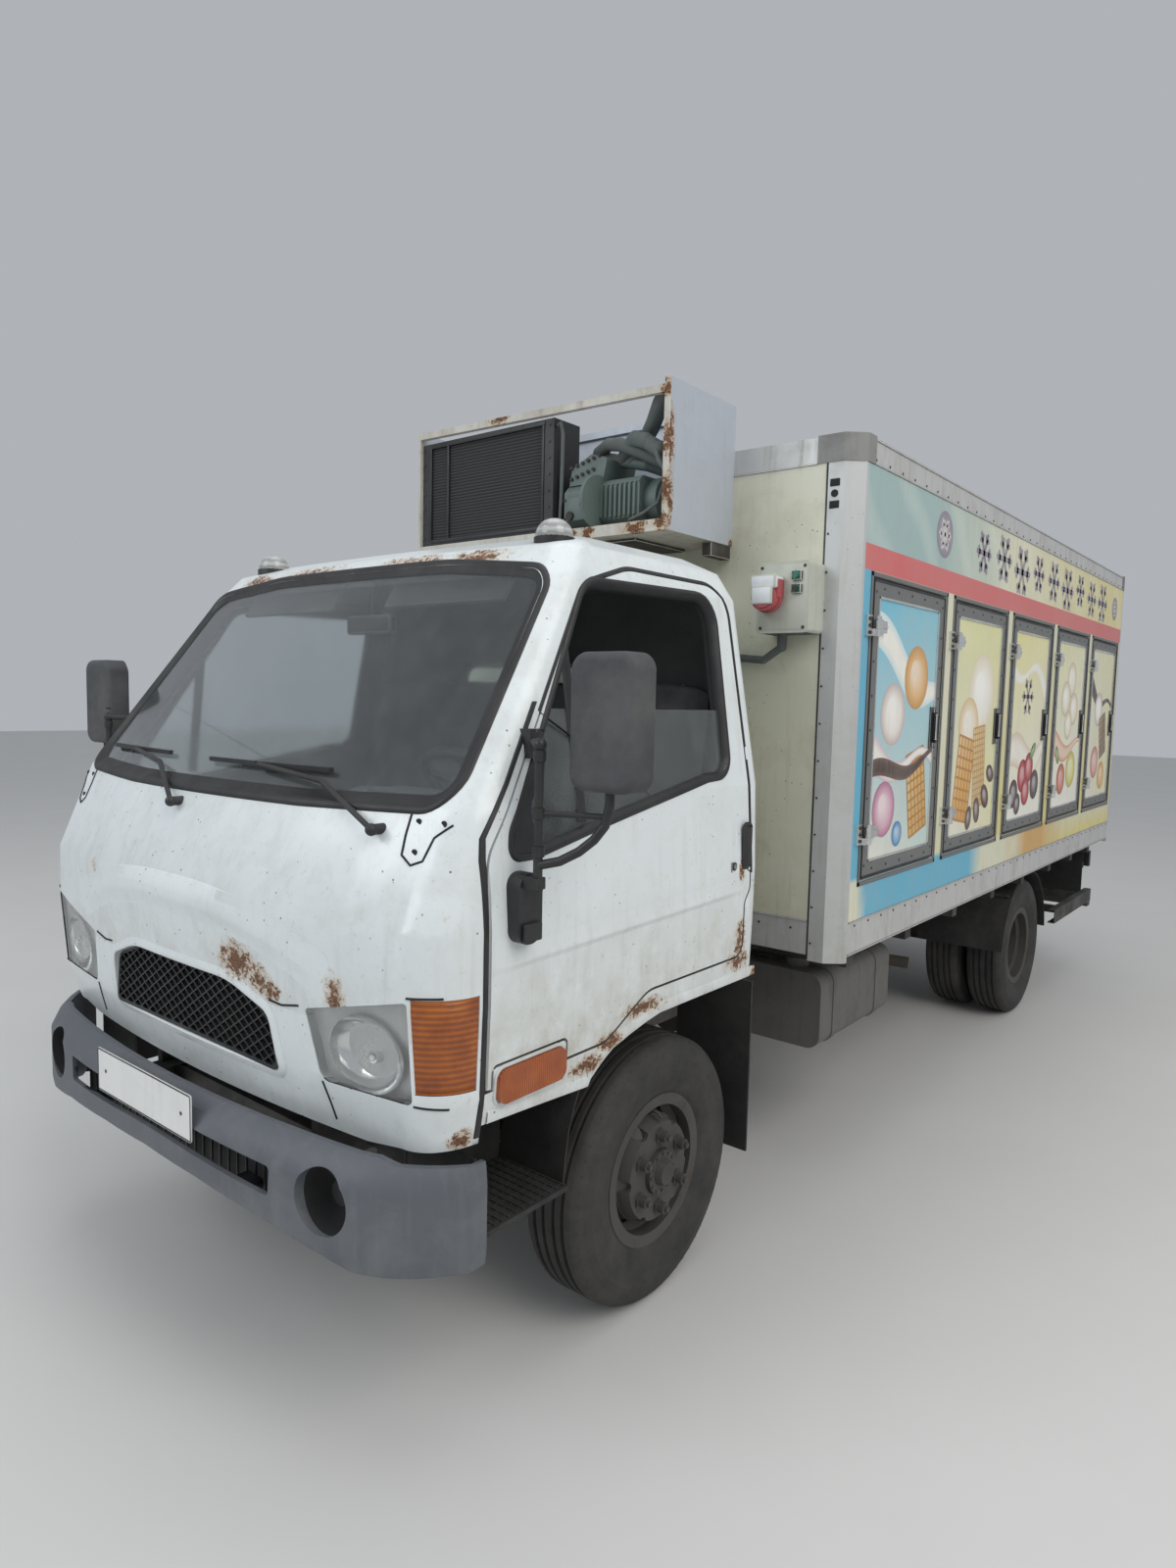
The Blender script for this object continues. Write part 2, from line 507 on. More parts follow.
def rounded(corners, steps=6):
    # A closed outline of (a, b, radius) with its corners rounded
    points = []
    count = len(corners)
    for i in range(count):
        a, b, r = corners[i]
        here = Vector((a, b))
        back = Vector(corners[i - 1][:2]) - here
        on = Vector(corners[(i + 1) % count][:2]) - here
        if r <= 0:
            points.append((a, b))
            continue
        half = back.angle(on) / 2
        reach = min(r / math.tan(half), back.length * 0.48, on.length * 0.48)
        r = reach * math.tan(half)
        centre = here + (back.normalized() + on.normalized()).normalized() * (r / math.sin(half))
        start = here + back.normalized() * reach - centre
        end = here + on.normalized() * reach - centre
        whole = start.angle_signed(end)
        for k in range(steps + 1):
            spun = start.copy()
            spun.rotate(Matrix.Rotation(-whole * k / steps, 2))
            points.append(tuple(centre + spun))
    return points


def even(outline, step):
    # The same closed outline with points no further apart than step
    points = []
    for p, q in zip(outline, outline[1:] + outline[:1]):
        count = max(1, int(math.dist(p, q) / step + 0.5))
        for k in range(count):
            points.append((p[0] + (q[0] - p[0]) * k / count, p[1] + (q[1] - p[1]) * k / count))
    return points


def middle_of(outline):
    return Vector((sum(p[0] for p in outline) / len(outline), sum(p[1] for p in outline) / len(outline)))


def outward(outline):
    # Unit normals of a closed outline, pointing away from its middle
    middle = middle_of(outline)
    normals = []
    for i in range(len(outline)):
        way = Vector(outline[(i + 1) % len(outline)]) - Vector(outline[i - 1])
        normals.append(Vector((way.y, -way.x)).normalized())
    turned = sum(n.dot(Vector(p) - middle) for n, p in zip(normals, outline))
    return normals if turned > 0 else [-n for n in normals]


def edging(outline, section):
    # For each point of a closed outline: the point, and the section's points (a, b, lift) across the edge there
    for (a, b), n in zip(outline, outward(outline)):
        yield a, b, [(a + n.x * o, b + n.y * o, lift) for o, lift in section]


def tree_of(*names):
    verts, faces = [], []
    for name in names:
        mesh = nodes[name].data
        base = len(verts)
        verts.extend(v.co.copy() for v in mesh.vertices)
        faces.extend([base + i for i in p.vertices] for p in mesh.polygons)
    return BVHTree.FromPolygons(verts, faces)


front_tree = tree_of("cab_shell", "front_panel", "cab_glass", "headlamps")
side_tree = tree_of("cab_shell", "front_panel", "cab_door_left", "door_glass_left")


def front_y(x, z, fallback):
    spot = front_tree.ray_cast(row(x, -2500, z), Vector((0, 1, 0)), 2.2)[0]
    return fallback if spot is None else spot.y * 1000 - SHIFT


def side_x(y, z, fallback=WIDEST):
    spot = side_tree.ray_cast(row(1600, y, z), Vector((-1, 0, 0)), 0.85)[0]
    return fallback if spot is None else spot.x * 1000


# The cab's half width by level, from the sill to the roof
half_rows = [(750, 955), (900, 978), (1120, 985), (1290, 985), (1560, 966), (2150, 858), (2235, 815), (2282, 720),
             (2300, 600)]


def half_at(z):
    for (z0, h0), (z1, h1) in zip(half_rows, half_rows[1:]):
        if z <= z1:
            return h0 + (h1 - h0) * max(0, z - z0) / (z1 - z0)
    return half_rows[-1][1]


def dress(name, *materials, pick=None):
    # Give a CAD node its materials, face by face where pick chooses one from a face's centre and normal
    mesh = nodes[name].data
    mesh.materials.clear()
    for material in materials:
        mesh.materials.append(material)
    for p in mesh.polygons:
        p.material_index = pick(to_mm(p.center), p.normal) if pick else 0


cab_middle = Vector((0, -250, 1480))


def inner_side(c, n):
    return 1 if n.dot(c - cab_middle) < -80 else 0


for material, names in (
        (FRAME, "ladder_frame subframe rear_bars"), (TANK, "tanks_and_boxes"), (STEP_BLACK, "guards_and_steps"),
        (IRON, "front_axle leaf_springs rear_axle powertrain knuckle_left knuckle_right tie_rod"),
        (BLACK, "wipers grille steering_wheel tail_lamps"), (BUMPER, "bumper"), (FLOOR_MAT, "cab_floor"),
        (DASH, "dashboard"), (GLASS, "cab_glass"), (DARK_GLASS, "door_glass_left door_glass_right"),
        (RIM, "front_rim_left front_rim_right rear_rims_left rear_rims_right"), (LINER, "body_floor"),
        (POST, "body_roof"), (ALUMINIUM, "body_rails")):
    for name in names.split():
        dress(name, material)
for name, outside, inside in (("cab_shell", PAINT, TRIM_LIGHT), ("front_panel", PANEL, DARK),
                              ("cab_door_left", DOOR, TRIM_LIGHT), ("cab_door_right", DOOR, TRIM_LIGHT)):
    dress(name, outside, inside, pick=inner_side)
dress("corner_posts", POST, CAP, LINER, pick=lambda c, n: 1 if c.z > 2654 else 0)
dress("end_walls", CREAM, LINER,
      pick=lambda c, n: 1 if (n.y > 0.5 and c.y < 1500) or (n.y < -0.5 and c.y > 4000) else 0)
for side, flip in SIDES:
    dress("wall_" + side, WALL, LINER, CHROME,
          pick=lambda c, n: 2 if abs(c.x) > 1100.5 else 0 if abs(c.x) > 1099 else 1)
    dress("mirror_" + side, GREY_SHELL, BLACK, pick=lambda c, n: 0 if abs(c.x) > 1100 and c.z > 1612 else 1)


def body_door_look(i):
    # Slots of a body door: picture, edge, hinges, latch, gasket and inner liner
    y0 = DOOR_START + DOOR_PITCH * i
    y1 = y0 + DOOR_WIDTH

    def pick(c, n):
        x = abs(c.x)
        latch = abs(c.y - (y0 + LATCH_Y)) < 33 and abs(c.z - LATCH_Z) < 84
        if x > 1101:
            return 3 if latch else 2
        if latch and x > 1070:
            return 3
        if x > 1099.2:
            return 1
        if x > 1094.5:
            return 0 if y0 + 50 < c.y < y1 - 50 and 1240 < c.z < 2220 else 1
        return 4 if x > 1067 else 5
    return pick


PRINT_BASE = weathered("door_picture_base", (0.66, 0.66, 0.56), 0.35, film=0.2, streaks=0.2, dirt=(0.45, 0.44, 0.38),
                       tone=0.02, grain=0.05)
for side, flip in SIDES:
    for i in range(DOOR_COUNT):
        dress("body_door_%s_%d" % (side, i + 1), PRINT_BASE, DOOR_FRAME, CHROME, BLACK, RUBBER, LINER,
              pick=body_door_look(i))
dress("unit_frame", GALVANISED, RUSTY,
      pick=lambda c, n: 1 if c.x < 585 and (c.z < 2450 or c.y < 440) or c.y < 423 else 0)
dress("condenser", BLACK, FIN, pick=lambda c, n: 1 if n.y < -0.5 and 428 < c.y < 436 else 0)
dress("compressor", MACHINE, PIPE, pick=lambda c, n: 1 if c.z > 2694 or (c.x > 395 and c.z > 2625) else 0)
dress("socket_box", BOX_GREY, SOCKET_RED, GREEN, PIPE,
      pick=lambda c, n: 3 if c.z < 2066 else 1 if c.y < 719 and c.x < 900 else 2 if c.y < 719 else 0)
dress("marker_lamps", AMBER, AMBER_SIDE, WHITE_LENS, BLACK,
      pick=lambda c, n: (3 if c.z < 2269 else 2) if c.z > 1800 else 1 if c.y > -775 else 0)


def soften(name, body):
    # A copy of a CAD node with its faces joined, so that it shades smoothly
    mesh = nodes[name].data.copy()
    bm = bmesh.new()
    bm.from_mesh(mesh)
    bmesh.ops.remove_doubles(bm, verts=bm.verts[:], dist=1e-5)
    bm.to_mesh(mesh)
    bm.free()
    placed(name + "_skin", mesh, body, 32, (name,))


for name, body in (("cab_shell", "cab"), ("front_panel", "cab"), ("bumper", "chassis")):
    soften(name, body)

# Windscreen seal: a rubber section that sits on the shell outside the edge and on the glass inside it
screen = even(rounded([
    (-893, 1566, 70), (-430, 1554, 1500), (430, 1554, 1500), (893, 1566, 70),
    (806, 2158, 85), (420, 2196, 1200), (-420, 2196, 1200), (-806, 2158, 85)], 8), 30)
face_normal = Vector((0, -0.78, 0.62))
seal_section = ((0.0, 0.6), (0.09, 6.5), (0.28, 9.5), (0.44, 7.0), (0.56, 4.5), (0.75, 1.2), (1.0, 0.5))
b = Build()
rows = []
for (x, z), n in zip(screen, outward(screen)):
    outer = Vector((x + n.x * 17, 0, z + n.y * 17))
    inner = Vector((x - n.x * 25, 0, z - n.y * 25))
    outer.y = front_y(outer.x, outer.z, -600)
    inner.y = front_y(inner.x, inner.z, outer.y + 14)
    if abs(inner.y - outer.y) > 70:
        inner.y = outer.y + 12
    rows.append([outer.lerp(inner, s) + face_normal * lift for s, lift in seal_section])
b.sheet(rows, loop=True)
b.done("windscreen_seal", "cab", [RUBBER], smooth=50)

rear_screen = even(rounded([(-450, 1600, 60), (450, 1600, 60), (430, 1950, 60), (-430, 1950, 60)]), 40)
b = Build()
b.sheet([[(x, min(466 + (level - 1290) * 0.045 + lift, 481), z) for x, z, lift in section]
         for _, level, section in edging(rear_screen, ((16, -2), (12, 6), (0, 8), (-10, 4), (-14, -10)))], loop=True)
b.done("rear_window_seal", "cab", [RUBBER], smooth=50)

# Cab doors: window channel, front quarter cover, handle, lock, crease, mirror glass and lining
window = even(rounded([
    (-715, 1450, 25), (-709, 1508, 60), (-330, 2132, 95), (305, 2148, 85), (276, 1598, 80),
    (150, 1592, 150), (-330, 1508, 150), (-630, 1450, 40)], 7), 35)


def side_point(y, z, lift):
    return (half_at(z) + lift * 0.984, y, z + lift * 0.17)


def curved_point(y, z, lift):
    return (side_x(y, z, half_at(z)) + lift * 0.95, y - lift * 0.2, z + lift * 0.15)


def door_details(side, flip):
    body = "cab_door_" + side
    b = Build()
    channel = ((15, 0.4), (12, 4.5), (4, 6), (-2, 3), (-8, -6), (-15, -13), (-16, -26))
    b.sheet([[side_point(*p) for p in section] for _, _, section in edging(window, channel)], loop=True)
    # Quarter cover at the window's lower front corner
    cover = rounded([(-712, 1452, 15), (-700, 1530, 30), (-585, 1712, 12), (-560, 1712, 8), (-648, 1560, 40),
                     (-628, 1456, 15)], 4)
    inner, outer = [[side_point(y, z, lift) for y, z in cover] for lift in (-14, 2)]
    b.sheet([inner, outer], closed=True)
    b.plate(outer)
    # Divider between the fixed front light and the sliding glass
    b.sheet([[side_point(*p) for p in section] for section in (
        [(-462, 1512, -8), (-444, 1512, -2), (-426, 1512, -8)],
        [(-462, 1930, -8), (-444, 1950, -2), (-426, 1975, -8)])])
    b.done("door_window_rubber_" + side, body, [RUBBER], flip=flip, smooth=45)

    b = Build()
    b.slab(rounded([(331, 1290, 24), (331, 1442, 20), (388, 1442, 20), (388, 1290, 24)], 5), 983.6, 986.8)
    b.sheet([[(x, y, z0), (x, y, z1)] for x, y, z0, z1 in (
        (986.8, 340, 1300, 1432), (993, 352, 1305, 1428), (996, 366, 1306, 1426), (992, 380, 1305, 1428),
        (986.8, 382, 1300, 1432))])
    b.pin((983, 987.5), 286, 1307, 13, n=20)
    b.pin((985, 989), 286, 1307, 8, m=1)
    b.box(985, 987.4, 268, 272, 1290, 1322, m=1, bevel=0.5)
    b.done("door_handle_" + side, body, [BLACK, STEEL], flip=flip)

    # Pressed crease along the door below the handle
    b = Build()
    steps = 29
    crease = ((44, 0.2), (22, 1.8), (7, 5.0), (1, 6.4), (-3, 5.4), (-9, 1.6), (-15, 0.2))
    rows = []
    for k in range(steps + 1):
        y = -786 + k * (786 + 345) / steps
        z = 1196 + 30 * k / steps
        fade = min(1, k / 2.0, (steps - k) / 3.0)
        rows.append([(side_x(y, z + o) + lift * fade, y, z + o) for o, lift in crease])
    b.sheet(rows)
    b.done("door_crease_" + side, body, [DOOR], flip=flip, smooth=34)

    b = Build()
    pane = rounded([(1123, 1632, 34), (1123, 1908, 34), (1283, 1908, 34), (1283, 1632, 34)], 6)
    b.slab(pane, -614, -610.5, m=1, axis=1)
    lip = ((11, -613), (9, -607), (2, -606), (-2, -610))
    b.sheet([[(x, y, z) for x, z, y in section] for _, _, section in edging(pane, lip)], loop=True)
    # Ribs, clamp screws and the folding joint on the arm
    for z in (1472, 1560, 1690):
        b.pin(1052, -712, (z - 12, z + 12), 15, n=20)
    b.pin(1052, -712, (1744, 1752), 9, n=6)
    b.pin(1052, -712, (1382, 1394), 13, n=6)
    for z in (1262, 1402):
        b.pin((1018, 1024), -698, z, 9, m=2, n=6)
    b.box(1020, 1032, -728, -668, 1256, 1300, bevel=4)
    b.done("mirror_details_" + side, body, [BLACK, MIRROR, BOLT], flip=flip)

    # Inside of the door: arm rest, winder and pull
    b = Build()
    b.box(905, 930, -520, 250, 1180, 1440, bevel=8)
    b.box(868, 908, -260, 200, 1385, 1425, m=1, bevel=10)
    b.pin((890, 906), -420, 1330, 26, m=1, n=20)
    b.rod((892, -420, 1330), (892, -340, 1290), 8, m=1)
    b.ball((884, -340, 1290), 15, m=1)
    b.done("door_lining_" + side, body, [DASH, BLACK], flip=flip)


for side, flip in SIDES:
    door_details(side, flip)

# Black gap strips ahead of the doors, and the arch and sill flanges of the cab
gap_line = [(-806, 800 + k * 40) for k in range(17)] + [
    (-806, 1452), (-800, 1500), (-762, 1560), (-716, 1620), (-660, 1702), (-612, 1772), (-585, 1812)]
arch_line = [(-786, 829), (-600, 816), (-405, 801), (-392, 832), (-370, 858), (-340, 878), (-300, 888), (-240, 905),
             (-170, 920), (-100, 931), (100, 931), (330, 930), (440, 930)]
for side, flip in SIDES:
    b = Build()
    rows = []
    for y, z in gap_line:
        wide = 11 if z < 1500 else 9
        rows.append([curved_point(y + o, z, lift)
                     for o, lift in ((-wide, 0.3), (3 - wide, 3.5), (wide * 0.5, 3.2), (wide * 0.5 + 2, 0.2))])
    b.sheet(rows)
    b.done("door_gap_rubber_" + side, "cab", [RUBBER], flip=flip, smooth=50)
    b = Build()
    rows = []
    for k, (y, z) in enumerate(arch_line):
        ahead = Vector(arch_line[min(k + 1, len(arch_line) - 1)]) - Vector(arch_line[max(k - 1, 0)])
        n = Vector((-ahead.y, ahead.x)).normalized()
        rows.append([(half_at(z + n.y * o) + lift, y + n.x * o, z + n.y * o)
                     for o, lift in ((30, 0.2), (25, 4), (6, 6), (0, 5), (-2, -6))])
    b.sheet(rows)
    b.done("arch_flange_" + side, "cab", [PAINT], flip=flip, smooth=40)

# Front panel: screw holes and dark seam lines, the raised rim round the grille and the ridge above it
seam_lines = (
    [(798, 1560), (800, 1500), (806, 1456), (838, 1436), (868, 1448), (880, 1500), (925, 1540)],
    [(420, 1056), (470, 1052), (556, 1068)],
    [(888, 1150), (930, 1152), (966, 1152)],
    [(594, 884), (604, 830), (612, 768)],
    [(892, 896), (930, 893), (962, 890)],
)
b = Build()
for sx in (1, -1):
    for x, z in ((824, 1531), (893, 1531), (838, 1464)):
        y = front_y(sx * x, z, -850)
        b.pin(sx * x, (y - 1.5, y + 2), z, 8)
    for line in seam_lines:
        points = []
        for (x0, z0), (x1, z1) in zip(line, line[1:]):
            for t in (0, 0.25, 0.5, 0.75):
                x, z = sx * (x0 + (x1 - x0) * t), z0 + (z1 - z0) * t
                points.append((x, front_y(x, z, -960) - 0.2, z))
        b.tube(points, 3.0, n=6)
b.done("screw_holes", "cab", [DARK])
b = Build()
opening = even(rounded([(-432, 868, 20), (432, 868, 20), (412, 1020, 45), (250, 1078, 300), (-250, 1078, 300),
                        (-412, 1020, 45)], 6), 26)
rows = []
for (x, z), n in zip(opening, outward(opening)):
    rows.append([(x + n.x * o, front_y(x + n.x * max(o, 6), z + n.y * max(o, 6), -1000) - lift, z + n.y * o)
                 for o, lift in ((26, 0.3), (14, 6), (4, 7), (0, 4), (-1, -24))])
b.sheet(rows, loop=True)
b.done("grille_surround", "cab", [PANEL], smooth=50)
b = Build()
rows = []
for k in range(41):
    t = -1 + k / 20
    z = 1262 - 128 * abs(t) ** 2.6
    fade = max(0.0, 1 - abs(t) ** 6)
    points = []
    for o, lift in ((64, 0.2), (30, 4.5), (6, 9.5), (-8, 8.0), (-30, 0.6), (-46, 0.1)):
        x = 640 * t * (1 + o * 0.0006)
        points.append((x, front_y(x, z + o, -1040) - lift * fade, z + o))
    rows.append(points)
b.sheet(rows)
b.done("panel_ridge", "cab", [PANEL], smooth=60)
b = Build()
b.slab([(x * 1.02, z) for x, z in opening], -972, -968, axis=1)
b.done("grille_backing", "cab", [DARK])

# Headlamps: a thin lens over a housing with a round reflector
lamp = nodes["headlamps"].data
b = Build()
for p in lamp.polygons:
    b.plate([to_mm(lamp.vertices[i].co) for i in p.vertices], 0 if p.normal.y < -0.35 else 1)
bmesh.ops.remove_doubles(b.bm, verts=b.bm.verts[:], dist=0.02)
for sx in (1, -1):
    rows = []
    for k in range(9):
        t = k / 8 * 1.25
        deep = -905 - 38 * (1 - math.cos(t)) * 1.6
        rows.append([(sx * (741 + 121 * math.sin(t) * math.cos(a)), deep + 0.16 * 121 * math.sin(t) * math.cos(a),
                      984 + 99 * math.sin(t) * math.sin(a)) for a in circle(36)])
    b.sheet(rows, closed=True, m=2)
    b.pin(sx * 768, (-906, -948), 985, 15, m=3, n=18)
    b.ball((sx * 768, -948, 985), 15, m=3)
b.done("headlamp_units", "cab", [LENS, HOUSING, REFLECTOR, CHROME], replaces=["headlamps"], smooth=30)

# Dark edge beside the corner lamp, painted rim round the side marker
marker = rounded([(-768, 864, 30), (-518, 864, 30), (-518, 957, 30), (-768, 957, 30)], 6)
for side, flip in SIDES:
    b = Build()
    b.sheet([[(x, front_y(probe, z, -900) - lift, z) for z in (927, 1036, 1146)]
             for x, probe, lift in ((899, 899, 2.2), (905, 909, 4.5), (909, 913, 3))])
    b.sheet([[(half_at(level) + lift, y, z) for y, z, lift in section]
             for _, level, section in edging(marker, ((4, 0.3), (3, 4), (-1, 5), (-4, 4), (-4, -1)))], loop=True, m=1)
    b.done("lamp_rims_" + side, "cab", [RUBBER, PAINT], flip=flip, smooth=45)

# Blank number plate on its bracket, bumper fittings and fog lamp bowls
b = Build()
plate_face = rounded([(-280, 664, 8), (240, 664, 8), (240, 790, 8), (-280, 790, 8)], 4)
plate_rim = ((-1, -1114.3), (-1.5, -1114.9), (-5, -1114.9), (-5.5, -1114.3))
b.slab(plate_face, -1114.2, -1111, axis=1)
b.sheet([[(x, y, z) for x, z, y in section] for _, _, section in edging(plate_face, plate_rim)], loop=True, m=1)
for x in (-230, 190):
    b.pin(x, (-1114.9, -1112), 730, 6, m=2, n=6)
for x in (-150, 110):
    b.box(x - 12, x + 12, -1111, -1060, 700, 716, m=3, bevel=1)
b.done("plate_blank", "chassis", [PLATE, BLACK, BOLT, FRAME])
b = Build()
for sx in (1, -1):
    b.pin(sx * 700, (-975, -968), 648, 84, n=36)
    b.sheet([[(sx * 700 + r * math.cos(a), y, 648 + r * math.sin(a)) for a in circle(36)]
             for r, y in ((80, -1040), (76, -1010), (66, -985), (52, -974))], closed=True)
    b.pin(sx * 700, (-978, -996), 648, 40, m=1, n=28, r2=30)
    b.pin(sx * 725, (-985, -1000), 690, 7, m=1, n=6)
b.done("fog_bowls", "chassis", [DARK, BLACK])

# Wheels: tyres with grooved tread and ringed sidewalls; (distance from the tyre's middle, radius)
TYRE_SIDE = [
    (78, 206), (79, 224), (84, 236), (90, 243), (92, 250), (97, 262), (98.4, 272), (101, 276), (102.6, 290), (105, 302),
    (106, 306), (105.4, 320), (104.8, 332), (106, 336), (104.5, 341), (102, 352), (101, 356), (99.5, 358), (97.5, 370),
    (94, 381), (91, 386), (86, 391), (79, 396.5), (73, 399.6)]


def tyre(b, x, y):
    half = list(TYRE_SIDE)
    for groove in (50, 18):
        half += [(groove + 7, 401.6), (groove + 5, 391.5), (groove - 5, 391.5), (groove - 7, 402.2)]
    profile = [(x + a, r) for a, r in half] + [(x - a, r) for a, r in reversed(half)]
    b.sheet([[(a, y + r * math.cos(t), WHEEL_Z + r * math.sin(t)) for a, r in profile] for t in circle(90)], loop=True)


def sipes(b, x):
    # Short cuts across the shoulders of a front tyre
    for t in circle(60):
        c, s = math.cos(t), math.sin(t)
        for sx in (1, -1):
            corners = [(72, 398.6, -2.2), (72, 398.6, 2.2), (93, 384.6, 2.2), (93, 384.6, -2.2)]
            b.plate([(x + sx * a, r * c - w * s, WHEEL_Z + r * s + w * c) for a, r, w in corners], 1)


def hub_bolts(b, sx, face, y, nut, stud, count, reach, near, far, r):
    # Six wheel nuts with their studs outside the wheel's face, and a circle of small bolts on the hub
    for k in range(6):
        t = math.radians(60 * k + 30)
        ny, nz = y + BOLT_CIRCLE * math.cos(t), WHEEL_Z + BOLT_CIRCLE * math.sin(t)
        b.pin((face, face + sx * nut), ny, nz, 24, n=6)
        b.pin((face + sx * 28, face + sx * stud), ny, nz, 9, n=10)
    for t in circle(count):
        b.pin((face + sx * near, face + sx * far), y + reach * math.cos(t), WHEEL_Z + reach * math.sin(t), r, n=6)


for side, sx in (("left", 1), ("right", -1)):
    front, rear = sx * FRONT_HALF_TRACK, sx * REAR_HALF_TRACK
    b = Build()
    tyre(b, front, 0)
    b.done("tyre_front_" + side, "wheel_front_" + side, [TYRE], replaces=["front_tyre_" + side], smooth=28)
    b = Build()
    sipes(b, front)
    b.done("tyre_sipes_front_" + side, "wheel_front_" + side, [TYRE, DARK], tidy=False)
    b = Build()
    for step in (-TWIN_HALF_GAP, TWIN_HALF_GAP):
        tyre(b, rear + step, REAR_AXLE)
    b.done("tyres_rear_" + side, "wheel_rear_" + side, [TYRE], replaces=["rear_tyres_" + side], smooth=28)
    # Wheel nuts with their studs, hub bolts, hub cap and valve of the front wheel; nuts, studs and bolts of the rear
    b = Build()
    face = front + sx * 94
    hub_bolts(b, sx, face, 0, 8, 40, 12, 58, 2, 19, 5)
    b.pin((face + sx * 12, face + sx * 34), 0, WHEEL_Z, 40, n=28, r2=33)
    b.tube([(face + sx * x, 0, WHEEL_Z + z) for x, z in ((-40, 182), (-12, 178), (6, 166))], 5)
    b.done("hub_details_front_" + side, "wheel_front_" + side, [RIM])
    b = Build()
    hub_bolts(b, sx, rear + sx * 11, REAR_AXLE, 10, 42, 8, 50, 108, 124, 6)
    b.done("hub_details_rear_" + side, "wheel_rear_" + side, [RIM])


# Pictures on the body doors: flat shapes whose shading is in their corner colours
def print_look():
    k = Look("door_picture", (0.6, 0.6, 0.5), 0.4)
    ink = k.node("Attribute")
    ink.attribute_name = "ink"
    stain = k.times(k.span(k.noise(5, 6, 0.65), 0.45, 0.8), 0.22)
    c = k.mix(k.calc("ADD", stain, k.times(k.runs(), 0.25)), ink.outputs["Color"], (0.5, 0.49, 0.42))
    chips = k.dots(30, 0.05, 0.09, 5, 0.5, 0.6)
    k.set(Base_Color=k.mix(chips, c, (0.2, 0.18, 0.15)), Roughness=k.span(k.noise(9, 4), 0.3, 0.7, 0.3, 0.5))
    k.bump(k.noise(60, 4), 0.05, 0.001)
    return k.material


PRINT = print_look()
PRINT_STEP = 0.12  # from one layer of print to the next, so that none lies in another


def blend(a, b, t):
    return tuple(p + (q - p) * t for p, q in zip(a, b))


